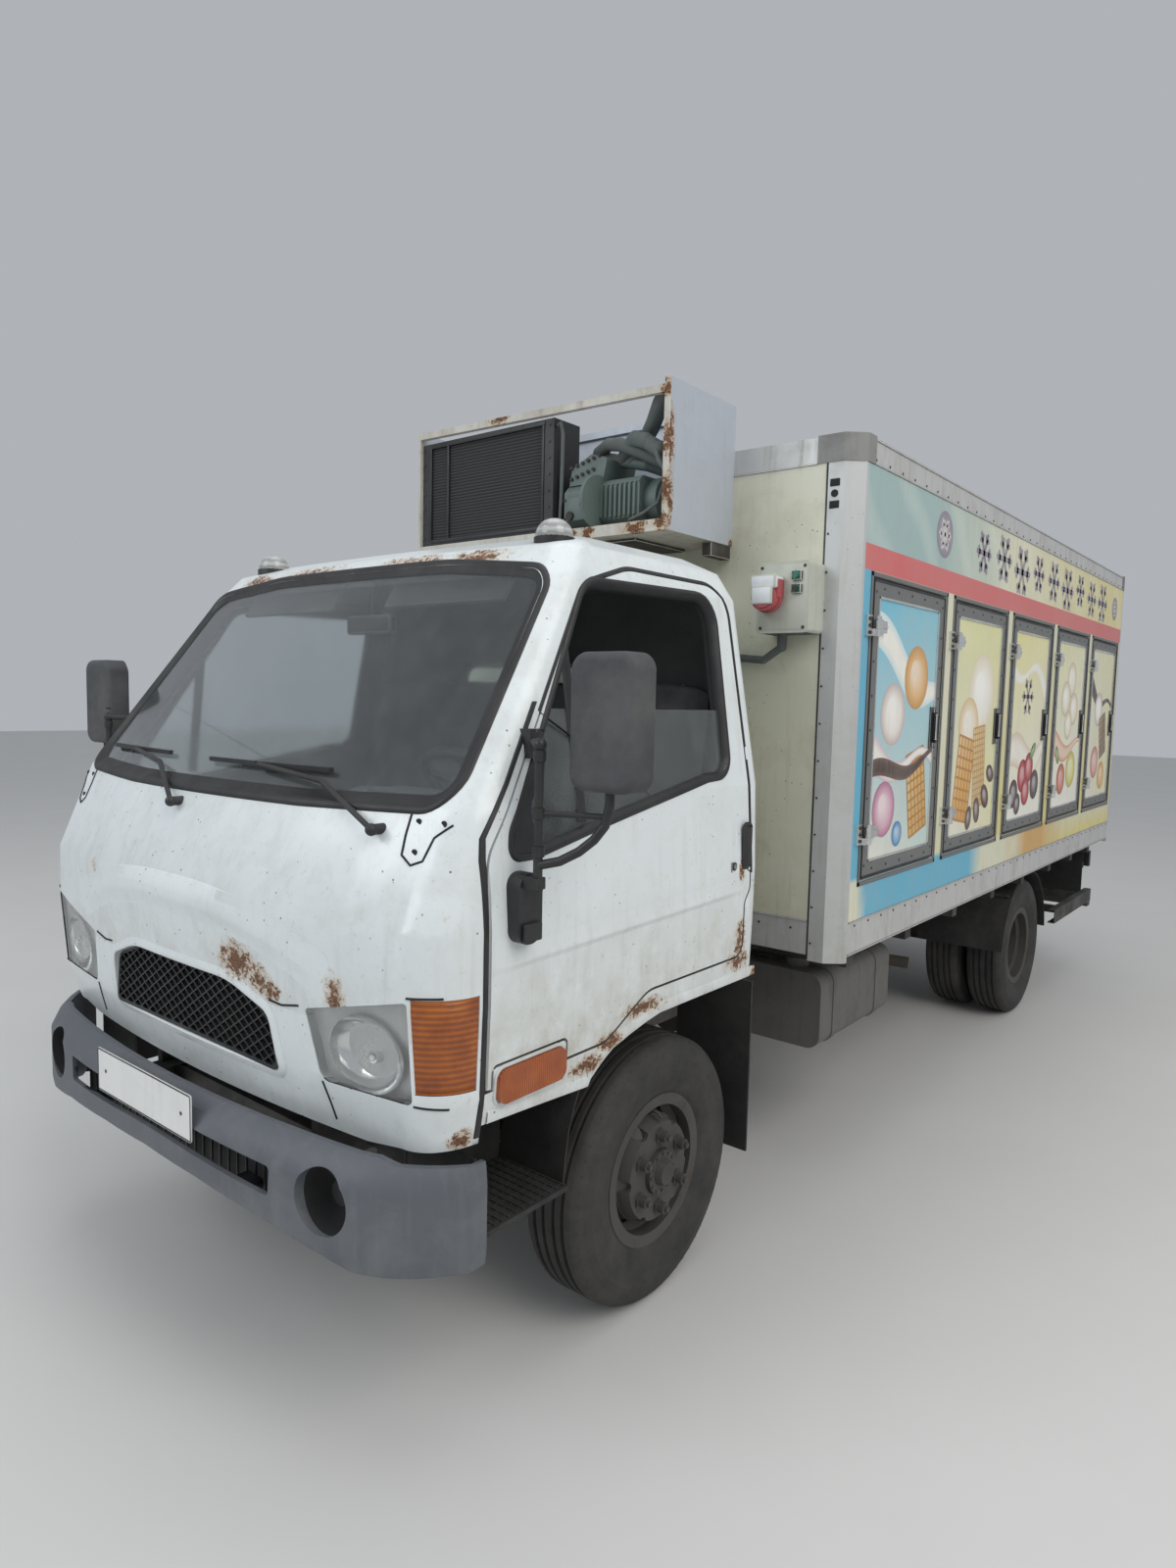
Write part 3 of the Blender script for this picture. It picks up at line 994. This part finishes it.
class Picture(Build):
    # Shapes on a rectangle of the plane x = level, placed by (u, v) from 0 to 1
    def __init__(self, level, y0, y1, z0, z1):
        super().__init__()
        self.ink = self.bm.loops.layers.float_color.new("ink")
        self.level, self.y0, self.z0 = level, y0, z0
        self.width, self.height = y1 - y0, z1 - z0
        self.shape = self.height / self.width
        self.layer = 0

    def put(self, points, colours):
        verts = []
        for u, v in points:
            u, v = min(max(u, 0), 1), min(max(v, 0), 1)
            verts.append(self.bm.verts.new((self.level + self.layer * PRINT_STEP, self.y0 + u * self.width,
                                            self.z0 + v * self.height)))
        face = self.bm.faces.new(verts)
        for corner, colour in zip(face.loops, colours):
            corner[self.ink] = (*colour, 1)

    def ground(self, low, high, side):
        n = 8
        for i in range(n):
            for j in range(n):
                cell = [(i / n, j / n), ((i + 1) / n, j / n), ((i + 1) / n, (j + 1) / n), (i / n, (j + 1) / n)]
                self.put(cell, [blend(blend(low, high, v ** 0.8), side, u * 0.6 * (1 - v * 0.5)) for u, v in cell])
        self.layer += 1

    def wave(self, start, drop, swell, thick, colour, shade, phase):
        n = 26
        strips = ((0, shade), (0.3, colour), (0.7, colour), (1, shade))

        def top(u):
            return start - drop * u + swell * math.sin(2 * math.pi * u + phase)

        def depth(u):
            return thick * (0.6 + 0.4 * math.sin(3 * u + phase))

        for i in range(n):
            a, b = i / n, (i + 1) / n
            for (r0, c0), (r1, c1) in zip(strips, strips[1:]):
                self.put([(a, top(a) - depth(a) * r0), (b, top(b) - depth(b) * r0), (b, top(b) - depth(b) * r1),
                          (a, top(a) - depth(a) * r1)], [c0, c0, c1, c1])
        self.layer += 1

    def turned(self, u, v, a, b, lean):
        # A point (a, b) beside (u, v), turned by lean
        return (u + a * math.cos(lean) - b * math.sin(lean), v + (a * math.sin(lean) + b * math.cos(lean)) / self.shape)

    def disc(self, u, v, r, colour, rim, n=22, gleam=0.35, squash=1.0, lean=0.0):
        def ring(share, du=0.0, dv=0.0):
            return [self.turned(u + du, v + dv, r * share * math.cos(t), r * share * math.sin(t) * squash, lean)
                    for t in circle(n)]
        shine = blend(colour, (0.95, 0.94, 0.9), gleam)
        centre, middle, edge = ring(0.26, -r * 0.18, r * 0.15), ring(0.62), ring(1)
        for k in range(n):
            j = (k + 1) % n
            self.put([middle[k], middle[j], edge[j], edge[k]], [colour, colour, rim, rim])
            self.put([centre[k], centre[j], middle[j], middle[k]], [shine, shine, colour, colour])
        self.put(centre, [shine] * n)
        self.layer += 1

    def wafer(self, u, v, w, h, lean, colour, line, cells=5):
        def leaf(a0, a1, b0, b1, inks):
            self.put([self.turned(u, v, a, b, lean) for a, b in ((a0, b0), (a1, b0), (a1, b1), (a0, b1))], inks)
        leaf(-w, w, -h, h, [colour, blend(colour, line, 0.4), colour, blend(colour, (0.9, 0.8, 0.5), 0.4)])
        self.layer += 1
        t = w * 0.05
        for i in range(cells + 1):
            a = -w + 2 * w * i / cells
            leaf(a - t, a + t, -h, h, [line] * 4)
        self.layer += 1
        rows = max(2, int(cells * h / w))
        for i in range(rows + 1):
            b = -h + 2 * h * i / rows
            leaf(-w, w, b - t, b + t, [line] * 4)
        self.layer += 1

    def crystal(self, u, v, r, colour, t=0.09):
        for k in range(6):
            a = math.pi * k / 3
            d = Vector((math.cos(a), math.sin(a)))
            n = Vector((-d.y, d.x))
            fork = d * r * 0.55
            for base, way, size in ((Vector((0, 0)), d, r), (fork, (d + n).normalized(), r * 0.34),
                                    (fork, (d - n).normalized(), r * 0.34)):
                m = Vector((-way.y, way.x)) * r * t
                corners = [base - m, base + way * size - m, base + way * size + m, base + m]
                self.put([(u + p.x, v + p.y / self.shape) for p in corners], [colour] * 4)
        self.layer += 1

    def printed(self, name, body, flip):
        return self.done(name, body, [PRINT], flip=flip, tidy=False)


sky, cream, pale = (0.16, 0.5, 0.66), (0.78, 0.76, 0.66), (0.86, 0.85, 0.78)
lemon, berry, plum = (0.75, 0.7, 0.3), (0.5, 0.06, 0.07), (0.42, 0.16, 0.28)
cocoa, leaf = (0.07, 0.035, 0.025), (0.2, 0.33, 0.1)
door_grounds = [
    (cream, sky, (0.4, 0.62, 0.62)), (cream, (0.72, 0.72, 0.4), lemon), (pale, lemon, cream),
    (pale, (0.74, 0.72, 0.42), cream), (cream, (0.72, 0.7, 0.5), lemon),
]


def door_picture(p, i):
    p.ground(*door_grounds[i])
    if i == 0:
        p.wave(0.93, 0.25, 0.04, 0.16, pale, (0.6, 0.74, 0.76), phase=0.5)
        p.disc(0.66, 0.71, 0.2, (0.76, 0.46, 0.18), (0.55, 0.27, 0.08), gleam=0.5)
        p.disc(0.3, 0.56, 0.19, (0.83, 0.79, 0.72), (0.55, 0.44, 0.42), gleam=0.7)
        p.wafer(0.75, 0.24, 0.15, 0.27, 0.22, (0.7, 0.42, 0.12), (0.42, 0.2, 0.04))
        p.wave(0.46, 0.1, 0.05, 0.17, pale, (0.66, 0.5, 0.56), phase=2.4)
        p.wave(0.36, -0.04, 0.03, 0.07, cocoa, (0.16, 0.08, 0.06), phase=1.0)
        p.disc(0.22, 0.19, 0.17, (0.68, 0.42, 0.5), plum, gleam=0.5)
        p.disc(0.45, 0.08, 0.08, (0.2, 0.4, 0.62), (0.06, 0.18, 0.4))
    elif i == 1:
        p.disc(0.6, 0.66, 0.3, (0.85, 0.82, 0.72), (0.74, 0.66, 0.46), gleam=0.8)
        p.disc(0.34, 0.5, 0.22, (0.84, 0.74, 0.56), (0.7, 0.5, 0.26), gleam=0.6)
        p.wafer(0.28, 0.26, 0.17, 0.3, -0.16, (0.74, 0.42, 0.12), (0.48, 0.22, 0.05))
        p.wafer(0.62, 0.31, 0.13, 0.3, 0.1, (0.72, 0.5, 0.24), (0.5, 0.3, 0.1), 6)
        for u, v, r in ((0.8, 0.16, 0.11), (0.62, 0.1, 0.1), (0.9, 0.27, 0.09), (0.44, 0.07, 0.09)):
            p.disc(u, v, r, (0.12, 0.06, 0.05), cocoa, squash=0.7, lean=u * 3)
    elif i == 2:
        p.wave(0.86, 0.1, 0.06, 0.2, pale, (0.8, 0.74, 0.5), phase=3.4)
        p.crystal(0.45, 0.66, 0.17, (0.25, 0.22, 0.24))
        p.wave(0.42, 0.0, 0.05, 0.2, (0.86, 0.82, 0.72), (0.7, 0.56, 0.42), phase=0.4)
        for u, v, r in ((0.42, 0.23, 0.14), (0.6, 0.27, 0.13), (0.53, 0.14, 0.12)):
            p.disc(u, v, r, berry, (0.2, 0.01, 0.02))
        for u, v, r in ((0.18, 0.14, 0.12), (0.8, 0.17, 0.13), (0.3, 0.08, 0.09)):
            p.disc(u, v, r, (0.1, 0.06, 0.08), cocoa)
        p.disc(0.7, 0.36, 0.1, leaf, (0.1, 0.18, 0.05), squash=0.45, lean=0.7)
    elif i == 3:
        for u, v, r in ((0.55, 0.78, 0.17), (0.36, 0.66, 0.17), (0.68, 0.6, 0.16), (0.5, 0.5, 0.14)):
            p.disc(u, v, r, (0.82, 0.77, 0.62), (0.58, 0.48, 0.32), gleam=0.7)
        p.wave(0.44, 0.06, 0.04, 0.16, (0.8, 0.6, 0.46), (0.62, 0.28, 0.16), phase=1.8)
        p.disc(0.7, 0.22, 0.18, (0.72, 0.66, 0.2), (0.42, 0.42, 0.1), gleam=0.5)
        p.disc(0.34, 0.17, 0.15, (0.62, 0.2, 0.12), (0.36, 0.06, 0.04))
        p.disc(0.16, 0.32, 0.1, leaf, (0.1, 0.18, 0.05), squash=0.5, lean=2.2)
    else:
        p.wave(0.8, 0.2, 0.05, 0.14, cocoa, (0.2, 0.13, 0.1), phase=2.2)
        p.disc(0.4, 0.6, 0.18, (0.84, 0.82, 0.75), (0.45, 0.4, 0.38), gleam=0.8)
        p.wafer(0.66, 0.42, 0.14, 0.22, 0.3, (0.32, 0.2, 0.12), (0.12, 0.07, 0.04))
        p.disc(0.35, 0.24, 0.17, (0.7, 0.4, 0.34), (0.46, 0.12, 0.1))
        p.disc(0.7, 0.14, 0.15, (0.76, 0.48, 0.2), (0.5, 0.25, 0.07))


def body_door(side, flip, i):
    tail = "%s_%d" % (side, i + 1)
    y0 = DOOR_START + DOOR_PITCH * i
    y1 = y0 + DOOR_WIDTH
    p = Picture(1096.3, y0 + 57, y0 + 681, 1247, 2213)
    door_picture(p, i)
    mesh = p.printed("door_picture_" + tail, "body_door_" + tail, flip).data
    # Every printed face turned outward
    bm = bmesh.new()
    bm.from_mesh(mesh)
    for f in bm.faces:
        if f.normal.x * (-1 if flip else 1) < 0:
            f.normal_flip()
    bm.to_mesh(mesh)
    bm.free()

    # Silver bead, gasket and screws round the leaf, the latch lever and the hinges' bolts
    b = Build()
    for o, wide, low, high, m, bevel in ((57, 9, 1096.5, 1101.5, 0, 0.8), (2, 5, SKIN, 1103.0, 1, 0)):
        b.border(low, high, y0 + o, y1 - o, DOOR_LOW + o, DOOR_HIGH - o, wide, wide, m, bevel)
    screw = (SKIN, 1101.6)
    for k in range(9):
        z = 1235 + k * 124
        for y in (y0 + 28, y0 + 710):
            if min(abs(z - level) for level in HINGE_LEVELS) > 40 or y > y0 + 400:
                b.pin(screw, y, z, 5, m=2, n=8)
    for k in range(5):
        for z in (1218, 2242):
            b.pin(screw, y0 + 100 + k * 135, z, 5, m=2, n=8)
    latch = y0 + LATCH_Y
    b.border(1096.4, 1102.5, latch - 33, latch + 33, 1650, 1820, 5, 6, 3, 0.8)
    b.box(1096.4, 1098.6, latch - 29, latch + 29, 1655, 1815, m=3)
    b.box(1104, 1117, latch + 1, latch + 21, 1684, 1792, m=3, bevel=4)
    b.pin((1078, 1094), latch - 12, LATCH_Z, 9, n=14)
    for z in HINGE_LEVELS:
        for dy in (22, 44, 72, 98):
            b.pin((1111.5, 1115.5), y0 + dy, z + 2, 6.5, m=2, n=6)
        b.box(1112, 1116, y0 + 56, y0 + 110, z - 4, z + 8, bevel=1.2)
    b.done("door_fittings_" + tail, "body_door_" + tail, [CHROME, RUBBER, BOLT, BLACK], flip=flip)


def body_side(side, flip):
    # Band above the doors: a row of frost crystals between two frost discs
    p = Picture(1100.35, 955, 5225, 2392, 2650)
    grey, violet = (0.3, 0.28, 0.32), (0.24, 0.2, 0.27)
    for u, v, r in ((0.17, 0.5, 0.022), (0.955, 0.45, 0.018)):
        p.disc(u, v, r, grey, violet, gleam=0.3, n=28)
        p.crystal(u, v, r * 0.75, (0.62, 0.6, 0.58))
    for k in range(9):
        r = 0.024 + 0.004 * ((k * 7) % 3)
        p.crystal(0.29 + k * 0.072, 0.47 + 0.06 * math.sin(k * 2.3), r, grey if k % 3 else violet, 0.1)
        p.layer -= 1
    p.printed("frost_band_" + side, "chassis", flip)

    # Wall fittings: hinge plate bolts, door frame gaskets, rail screws and lips
    b = Build()
    for i in range(DOOR_COUNT):
        y0 = DOOR_START + DOOR_PITCH * i
        for z in HINGE_LEVELS:
            for dz in (-24, 0, 24):
                b.pin((1109.5, 1114), y0 - 40, z + dz, 6.5, n=6)
        b.border(1099.6, 1103.2, y0 - 26, y0 + 764, 1164, 2293, 16, 16, 1, 0.8)
    for k in range(36):
        for z in (1022, 2672):
            b.pin((SKIN, 1102.2), 960 + k * 122, z, 4.5, n=8)
    for x, z0, z1 in ((1103.5, 2655, 2661), (1103.5, 2735, 2742), (1103.5, 1036, 1042), (1102.5, 918, 924)):
        b.box(SKIN, x, 906, 5275, z0, z1, m=2, bevel=1)
    b.done("wall_fittings_" + side, "chassis", [BOLT, DOOR_FRAME, ALUMINIUM], flip=flip)


for side, flip in SIDES:
    for i in range(DOOR_COUNT):
        body_door(side, flip, i)
    body_side(side, flip)

# Corner posts: the dark slots at the top, joint lines and rivets
b = Build()
for sx in (1, -1):
    for z in (2585, 2510):
        b.box(sx * 1008 - 18, sx * 1008 + 18, 832.6, 836, z - 13, z + 13, bevel=2)
    b.pin(sx * 1008, (832.6, 836), 2548, 13, n=20)
    for k in range(12):
        b.pin(sx * 990, (833, 836), 960 + k * 132, 4, m=1, n=8)
    b.box(sx * 978 - 3, sx * 978 + 3, 833.4, 836, 900, 2655, m=1)
b.box(-975, 975, 831.5, 836, 1037, 1043, m=2, bevel=1)
b.box(-940, 940, 831.5, 836, 2652, 2658, m=2, bevel=1)
for k in range(15):
    b.pin(-910 + k * 130, (832.5, 836), 1005, 4.5, m=1, n=8)
b.done("front_frame_fittings", "chassis", [DARK, BOLT, ALUMINIUM])

# Socket box: white flap, collar, switches with their caps, lid screws
b = Build()
b.box(795, 975, 718.5, 722, 2075, 2300, bevel=2)
b.pin(840, (668, 652), 2185, 40, m=1, n=28, r2=36)
b.pin(840, (700, 690), 2185, 52, m=1, n=28)
b.box(792, 888, 655, 722, 2215, 2262, m=2, bevel=6)
b.box(800, 880, 648, 660, 2160, 2222, m=2, bevel=5)
for z, m in ((2215, 5), (2260, 3)):
    b.box(921, 959, 706, 722, z - 17, z + 17, m=4, bevel=3)
    b.pin(940, (698, 712), z, 11, m=m, n=18)
for x in (803, 967):
    for z in (2083, 2292):
        b.pin(x, (717, 720), z, 6, m=5, n=8)
b.done("socket_fittings", "chassis", [BOX_GREY, SOCKET_RED, WHITE_PLASTIC, GREEN, BLACK, BOLT])

# Condensing unit: core frame bars, fasteners, fan ring and pipe, then the compressor's bolts and wrapped pipes
b = Build()
for x in (-604, -500, 20):
    b.box(x - 6, x + 6, 421.5, 430, 2462, 2842, bevel=1.5)
for z in (2452, 2836):
    b.box(-600, 30, 421, 428, z, z + 14, bevel=1.5)
for k in range(7):
    for x in (-640, 52):
        b.pin(x, (423.6, 421), 2475 + k * 60, 5, m=1, n=6)
b.pin(-290, (573, 590), 2650, 160, n=40)
b.tube([(78, 440, 2830), (96, 436, 2838), (104, 440, 2800), (98, 446, 2700), (92, 450, 2580), (86, 452, 2470)],
       7, m=2)
b.done("condenser_frame", "chassis", [BLACK, BOLT, PIPE])
b = Build()
for k in range(6):
    for dz in (0, 40):
        if dz or k < 5:
            b.pin(132 + k * 26, (462, 456), 2632 + dz + k * 6, 7, m=1, n=6)
b.box(118, 232, 436, 450, 2474, 2560, bevel=5)
b.pin(150, (436, 428), 2492, 17, m=1, n=20)
b.pin(205, (436, 430), 2530, 9, m=1, n=6)
for x in (124, 226):
    for z in (2482, 2552):
        b.pin(x, (436, 431), z, 5, m=1, n=6)
b.pin((265, 278), 445, 2530, 96, n=40)
pipe = [(300, 560, 2700), (350, 520, 2732), (410, 478, 2742), (470, 458, 2722), (520, 470, 2690)]
for points, r, n in (
        (pipe, 27, 14),
        ([(430, 520, 2760), (470, 500, 2800), (510, 478, 2850), (548, 462, 2884)], 24, 14),
        ([(400, 560, 2740), (440, 540, 2786), (492, 520, 2836), (560, 500, 2876)], 17, 12),
        ([(180, 560, 2740), (260, 520, 2752), (330, 500, 2738), (420, 500, 2700), (500, 540, 2660)], 24, 14),
        ([(560, 446, 2560), (540, 440, 2500), (480, 438, 2470), (420, 440, 2452)], 6, 10),
        ([(515, 452, 2700), (535, 446, 2650), (560, 452, 2610)], 9, 10)):
    b.tube(points, r, m=2, n=n)
for p in pipe:
    b.ball(p, 29, m=2)
b.box(255, 430, 640, 720, 2452, 2640, bevel=8)
b.done("compressor_fittings", "chassis", [MACHINE, BOLT, PIPE])
b = Build()
# Ragged flange of the side panel and the tray's front lip
for k in range(16):
    z = 2420 + k * 30
    w = 14 + 10 * random.random()
    b.box(603 - w, 604.8, 410.4, 413.2, z, z + 26 + 4 * random.random(), bevel=0.6)
for x in (-600, -350, -100, 150, 400, 560):
    b.pin(x, (410.4, 412), 2418, 6, m=1, n=6)
for z in (2460, 2650, 2860):
    b.pin((604.4, 604.95), 800, z, 7, m=1, n=6)
b.pin((604.5, 604.96), 664, 2851, 13, m=2, n=7)
for z in (2792, 2775):
    b.pin((604.5, 604.96), 560, z, 4, m=2, n=6)
b.box(-300, 420, 480, 800, 2388, 2400, m=3, bevel=2)
b.box(560, 600, 700, 834, 2350, 2400, m=3, bevel=2)
b.done("unit_frame_fittings", "chassis", [RUSTY, BOLT, DARK, FRAME])

# Cab inside: instruments, controls, vents, gear lever, stalks, visors and inside mirror
b = Build()
b.box(400, 610, -690, -560, 1556, 1566, bevel=6)
for x, r in ((430, 30), (505, 36), (580, 30)):
    b.rod((x, -556, 1500), (x, -540, 1492), r, m=1, n=28)
b.box(-150, 150, -575, -556, 1320, 1430, m=1, bevel=4)
b.box(-120, 120, -560, -550, 1385, 1420, m=2, bevel=2)
for x in (-90, -30, 30, 90):
    b.pin(x, (-558, -546), 1350, 16, m=2, n=18)
for x in (-820, -520, 180):
    for k in range(4):
        b.box(x, x + 130, -572, -556, 1380 + k * 12, 1386 + k * 12, m=1, bevel=1)
b.box(-800, -420, -575, -556, 1250, 1350, bevel=10)
b.tube([(150, -380, 1190), (150, -390, 1290), (165, -370, 1400), (178, -350, 1450)], 9, m=1)
b.ball((178, -350, 1468), 26, m=1)
b.tube([(470, -480, 1470), (380, -450, 1490), (300, -430, 1505)], 6, m=1)
b.tube([(540, -480, 1470), (640, -450, 1490), (710, -430, 1505)], 6, m=1)
for x0, x1 in ((-640, -130), (130, 640)):
    b.box(x0, x1, -378, -362, 2070, 2215, m=3, bevel=7, turn=Matrix.Rotation(math.radians(-32), 3, "X"))
b.box(-110, 110, -370, -340, 2010, 2070, m=1, bevel=8)
b.tube([(0, -350, 2070), (0, -345, 2130), (0, -330, 2180)], 7, m=1)
b.done("cab_interior_fittings", "cab", [DASH, BLACK, STEEL, TRIM_LIGHT])

# Steering wheel: hub, rim and three spokes about the leaning column
b = Build()
lean = math.radians(38)
column = Vector((0, math.sin(lean), math.cos(lean)))
across, down = Vector((1, 0, 0)), Vector((0, math.cos(lean), -math.sin(lean)))
hub = Vector((505, -318, 1530))
b.rod(hub + column * 10, hub + column * 30, 58, n=32, r2=46)
rim = [hub + across * 212 * math.cos(a) + down * 212 * math.sin(a) for a in circle(48)]
b.tube(rim + rim[:1], 16.5, n=12)
for t in (90, 210, 330):
    d = across * math.cos(math.radians(t)) - down * math.sin(math.radians(t))
    b.rod(hub + d * 40 + column * 12, hub + d * 200 + column * 4, 13, n=12, r2=9)
b.done("steering_grip", "steering_wheel", [BLACK])


# Seats: soft cushions and backs on rigid plinths
def pillow(b, x0, x1, corners, bulge):
    # A box-like cushion along X whose outline in (y, z) is rounded; the middle of its wide faces swells
    outline = even(rounded(corners, steps=4), 38)
    middle = middle_of(outline)
    long = x1 - x0
    n = max(6, int(long / 42))
    rows = []
    for i in range(n + 1):
        s = i / n
        edge = min(s, 1 - s) * long
        draw_in = 26 * max(0, 1 - edge / 60) ** 2
        seam = 14 * math.exp(-((edge - 95) / 9) ** 2)
        r = bulge * min(1, edge / 120) - seam - draw_in - bulge
        rows.append([(x0 + long * s, p[0] + q.x * r, p[1] + q.y * r) for p, q in zip(outline, outward(outline))])
    b.sheet(rows, closed=True)
    for rim, end in ((rows[0], x0), (rows[-1], x1)):
        inner = [(end, middle.x + (p[1] - middle.x) * 0.5, middle.y + (p[2] - middle.y) * 0.5) for p in rim]
        b.sheet([rim, inner], closed=True)
        b.plate(inner)


b = Build()
for x0, x1 in ((375, 850), (-850, 340)):
    pillow(b, x0, x1, [(-190, 1204, 40), (-190, 1310, 48), (60, 1316, 300), (296, 1304, 40), (296, 1204, 30)], 9)
    pillow(b, x0 + 15, x1 - 15, [(232, 1324, 26), (338, 1324, 30), (388, 1872, 34), (316, 1884, 34)], 7)
for v in b.bm.verts:
    v.co.y += 1.8 * math.sin(v.co.x * 0.021 + v.co.z * 0.033)
    v.co.z += 1.6 * math.sin(v.co.x * 0.027 - v.co.y * 0.031)
soft = b.done("seat_cushions", "cab", [SEAT_FABRIC], smooth=60, replaces=("seats",))
smoothing = soft.modifiers.new("smooth", "SUBSURF")
smoothing.levels = 1
smoothing.render_levels = 1
b = Build()
for x0, x1 in ((395, 830), (-830, -395)):
    b.box(x0, x1, -150, 280, 1112, 1200, bevel=6)
    b.box(x0 + 10, x1 - 10, -140, 270, 968, 1112, bevel=4)
b.box(-330, 320, -130, 270, 1150, 1200, bevel=6)
for x in (612, -230, -600):
    for sx in (-1, 1):
        b.rod((x + sx * 110, 352, 1868), (x + sx * 110, 362, 1870), 6, m=1, n=10)
b.done("seat_plinths", "cab", [BLACK, STEEL], replaces=("seats",))

# Tail lamp segments on their boards
b = Build()
for sx in (1, -1):
    for x0, x1, m in ((652, 735, 2), (741, 812, 1), (818, 905, 0), (911, 990, 0)):
        b.box(min(sx * x0, sx * x1), max(sx * x0, sx * x1), 5326, 5338, 712, 798, m=m, bevel=3)
    for x in (646, 994):
        b.pin(sx * x, (5327, 5333), 755, 5, m=3, n=8)
b.done("tail_lamp_segments", "chassis", [RED_LENS, AMBER, WHITE_LENS, BOLT])

# Door seals on the cab, round the top of each door's opening
door_line = even(rounded([
    (-800, 905, 0), (-800, 1455, 120), (-345, 2128, 130), (-120, 2192, 250), (392, 2192, 110), (392, 1222, 40),
    (360, 1180, 40), (360, 1005, 45), (-160, 1005, 120), (-345, 905, 90)], 7), 40)
for side, flip in SIDES:
    b = Build()
    rows = []
    for (y, z), n in zip(door_line, outward(door_line)):
        if z < 1240 or (y < -590 and z < 1800):
            continue
        on_shell = side_x(y + n.x * 9, z + n.y * 9, half_at(z))
        on_door = side_x(y - n.x * 12, z - n.y * 12, half_at(z))
        rows.append([(on_shell + (on_door - on_shell) * (9 - o) / 21 + lift, y + n.x * o, z + n.y * o)
                     for o, lift in ((7, 0.2), (5, 2.0), (-3, 2.2), (-5.5, -1), (-5.5, -8))])
    rows.sort(key=lambda points: math.atan2(points[0][2] - 1650, -points[0][1] - 150))
    b.sheet(rows)
    b.done("door_seal_" + side, "cab", [RUBBER], flip=flip, smooth=50)

# Liners ahead of the front wheels, ribs on the steps and a dark screen behind the bumper's slot
liner = [(-474, 556), (-468, 620), (-456, 690), (-436, 750), (-415, 792)]
for side, flip in SIDES:
    b = Build()
    b.slab(liner + [(y - 4, z + 1) for y, z in reversed(liner)], 716, 950)
    b.box(700, 706, -800, -474, 560, 838)
    for k in range(13):
        y = -792 + k * 25.5
        b.box(722, 958, y, y + 6, 554, 559, bevel=1)
    for k in range(9):
        x = 728 + k * 27
        b.box(x, x + 5, -794, -478, 554, 557.5)
    b.done("step_liner_" + side, "chassis", [STEP_BLACK], flip=flip)
b = Build()
b.box(-540, 540, -1026, -1022, 560, 728)
for k in range(26):
    b.box(-530 + k * 42, -526 + k * 42, -1030, -1026, 570, 720, m=1)
b.done("slot_screen", "chassis", [DARK, BLACK])

# Pale floor, world and soft lights
stage = bpy.data.meshes.new("floor")
bm = bmesh.new()
bmesh.ops.create_grid(bm, x_segments=1, y_segments=1, size=40)
bm.to_mesh(stage)
bm.free()
floor_look = Look("pale_floor", (0.62, 0.615, 0.6), 0.6)
floor_look.set(Base_Color=floor_look.mix(floor_look.noise(1.2, 5), (0.6, 0.595, 0.58), (0.66, 0.655, 0.64)))
stage.materials.append(floor_look.material)
floor = bpy.data.objects.new("floor", stage)
bpy.context.scene.collection.objects.link(floor)

world = bpy.data.worlds.new("studio")
world.use_nodes = True
background = world.node_tree.nodes["Background"]
background.inputs["Color"].default_value = (0.86, 0.9, 0.96, 1)
background.inputs["Strength"].default_value = 0.5
bpy.context.scene.world = world


def soft_light(name, spot, target, size, watts, colour):
    data = bpy.data.lights.new(name, "AREA")
    data.shape = "RECTANGLE"
    data.size, data.size_y = size
    data.energy = watts
    data.color = colour
    lamp = bpy.data.objects.new(name, data)
    spot, target = Vector(spot), Vector(target)
    lamp.matrix_world = Matrix.Translation(spot) @ (target - spot).to_track_quat("-Z", "Y").to_matrix().to_4x4()
    bpy.context.scene.collection.objects.link(lamp)


soft_light("sky_left", (9.0, -3.5, 8.5), (0.5, -1.0, 1.2), (7, 7), 560, (1.0, 0.97, 0.92))
soft_light("sky_front", (-3.5, -10.5, 6.5), (0, -3.0, 1.3), (6, 5), 330, (0.93, 0.97, 1.0))
soft_light("sky_top", (0.5, -1.0, 10.5), (0, 0, 0), (9, 9), 260, (0.97, 0.98, 1.0))

scene = bpy.context.scene
scene.view_settings.view_transform = "Standard"
scene.view_settings.look = "None"
scene.view_settings.exposure = 0
scene.view_settings.gamma = 1
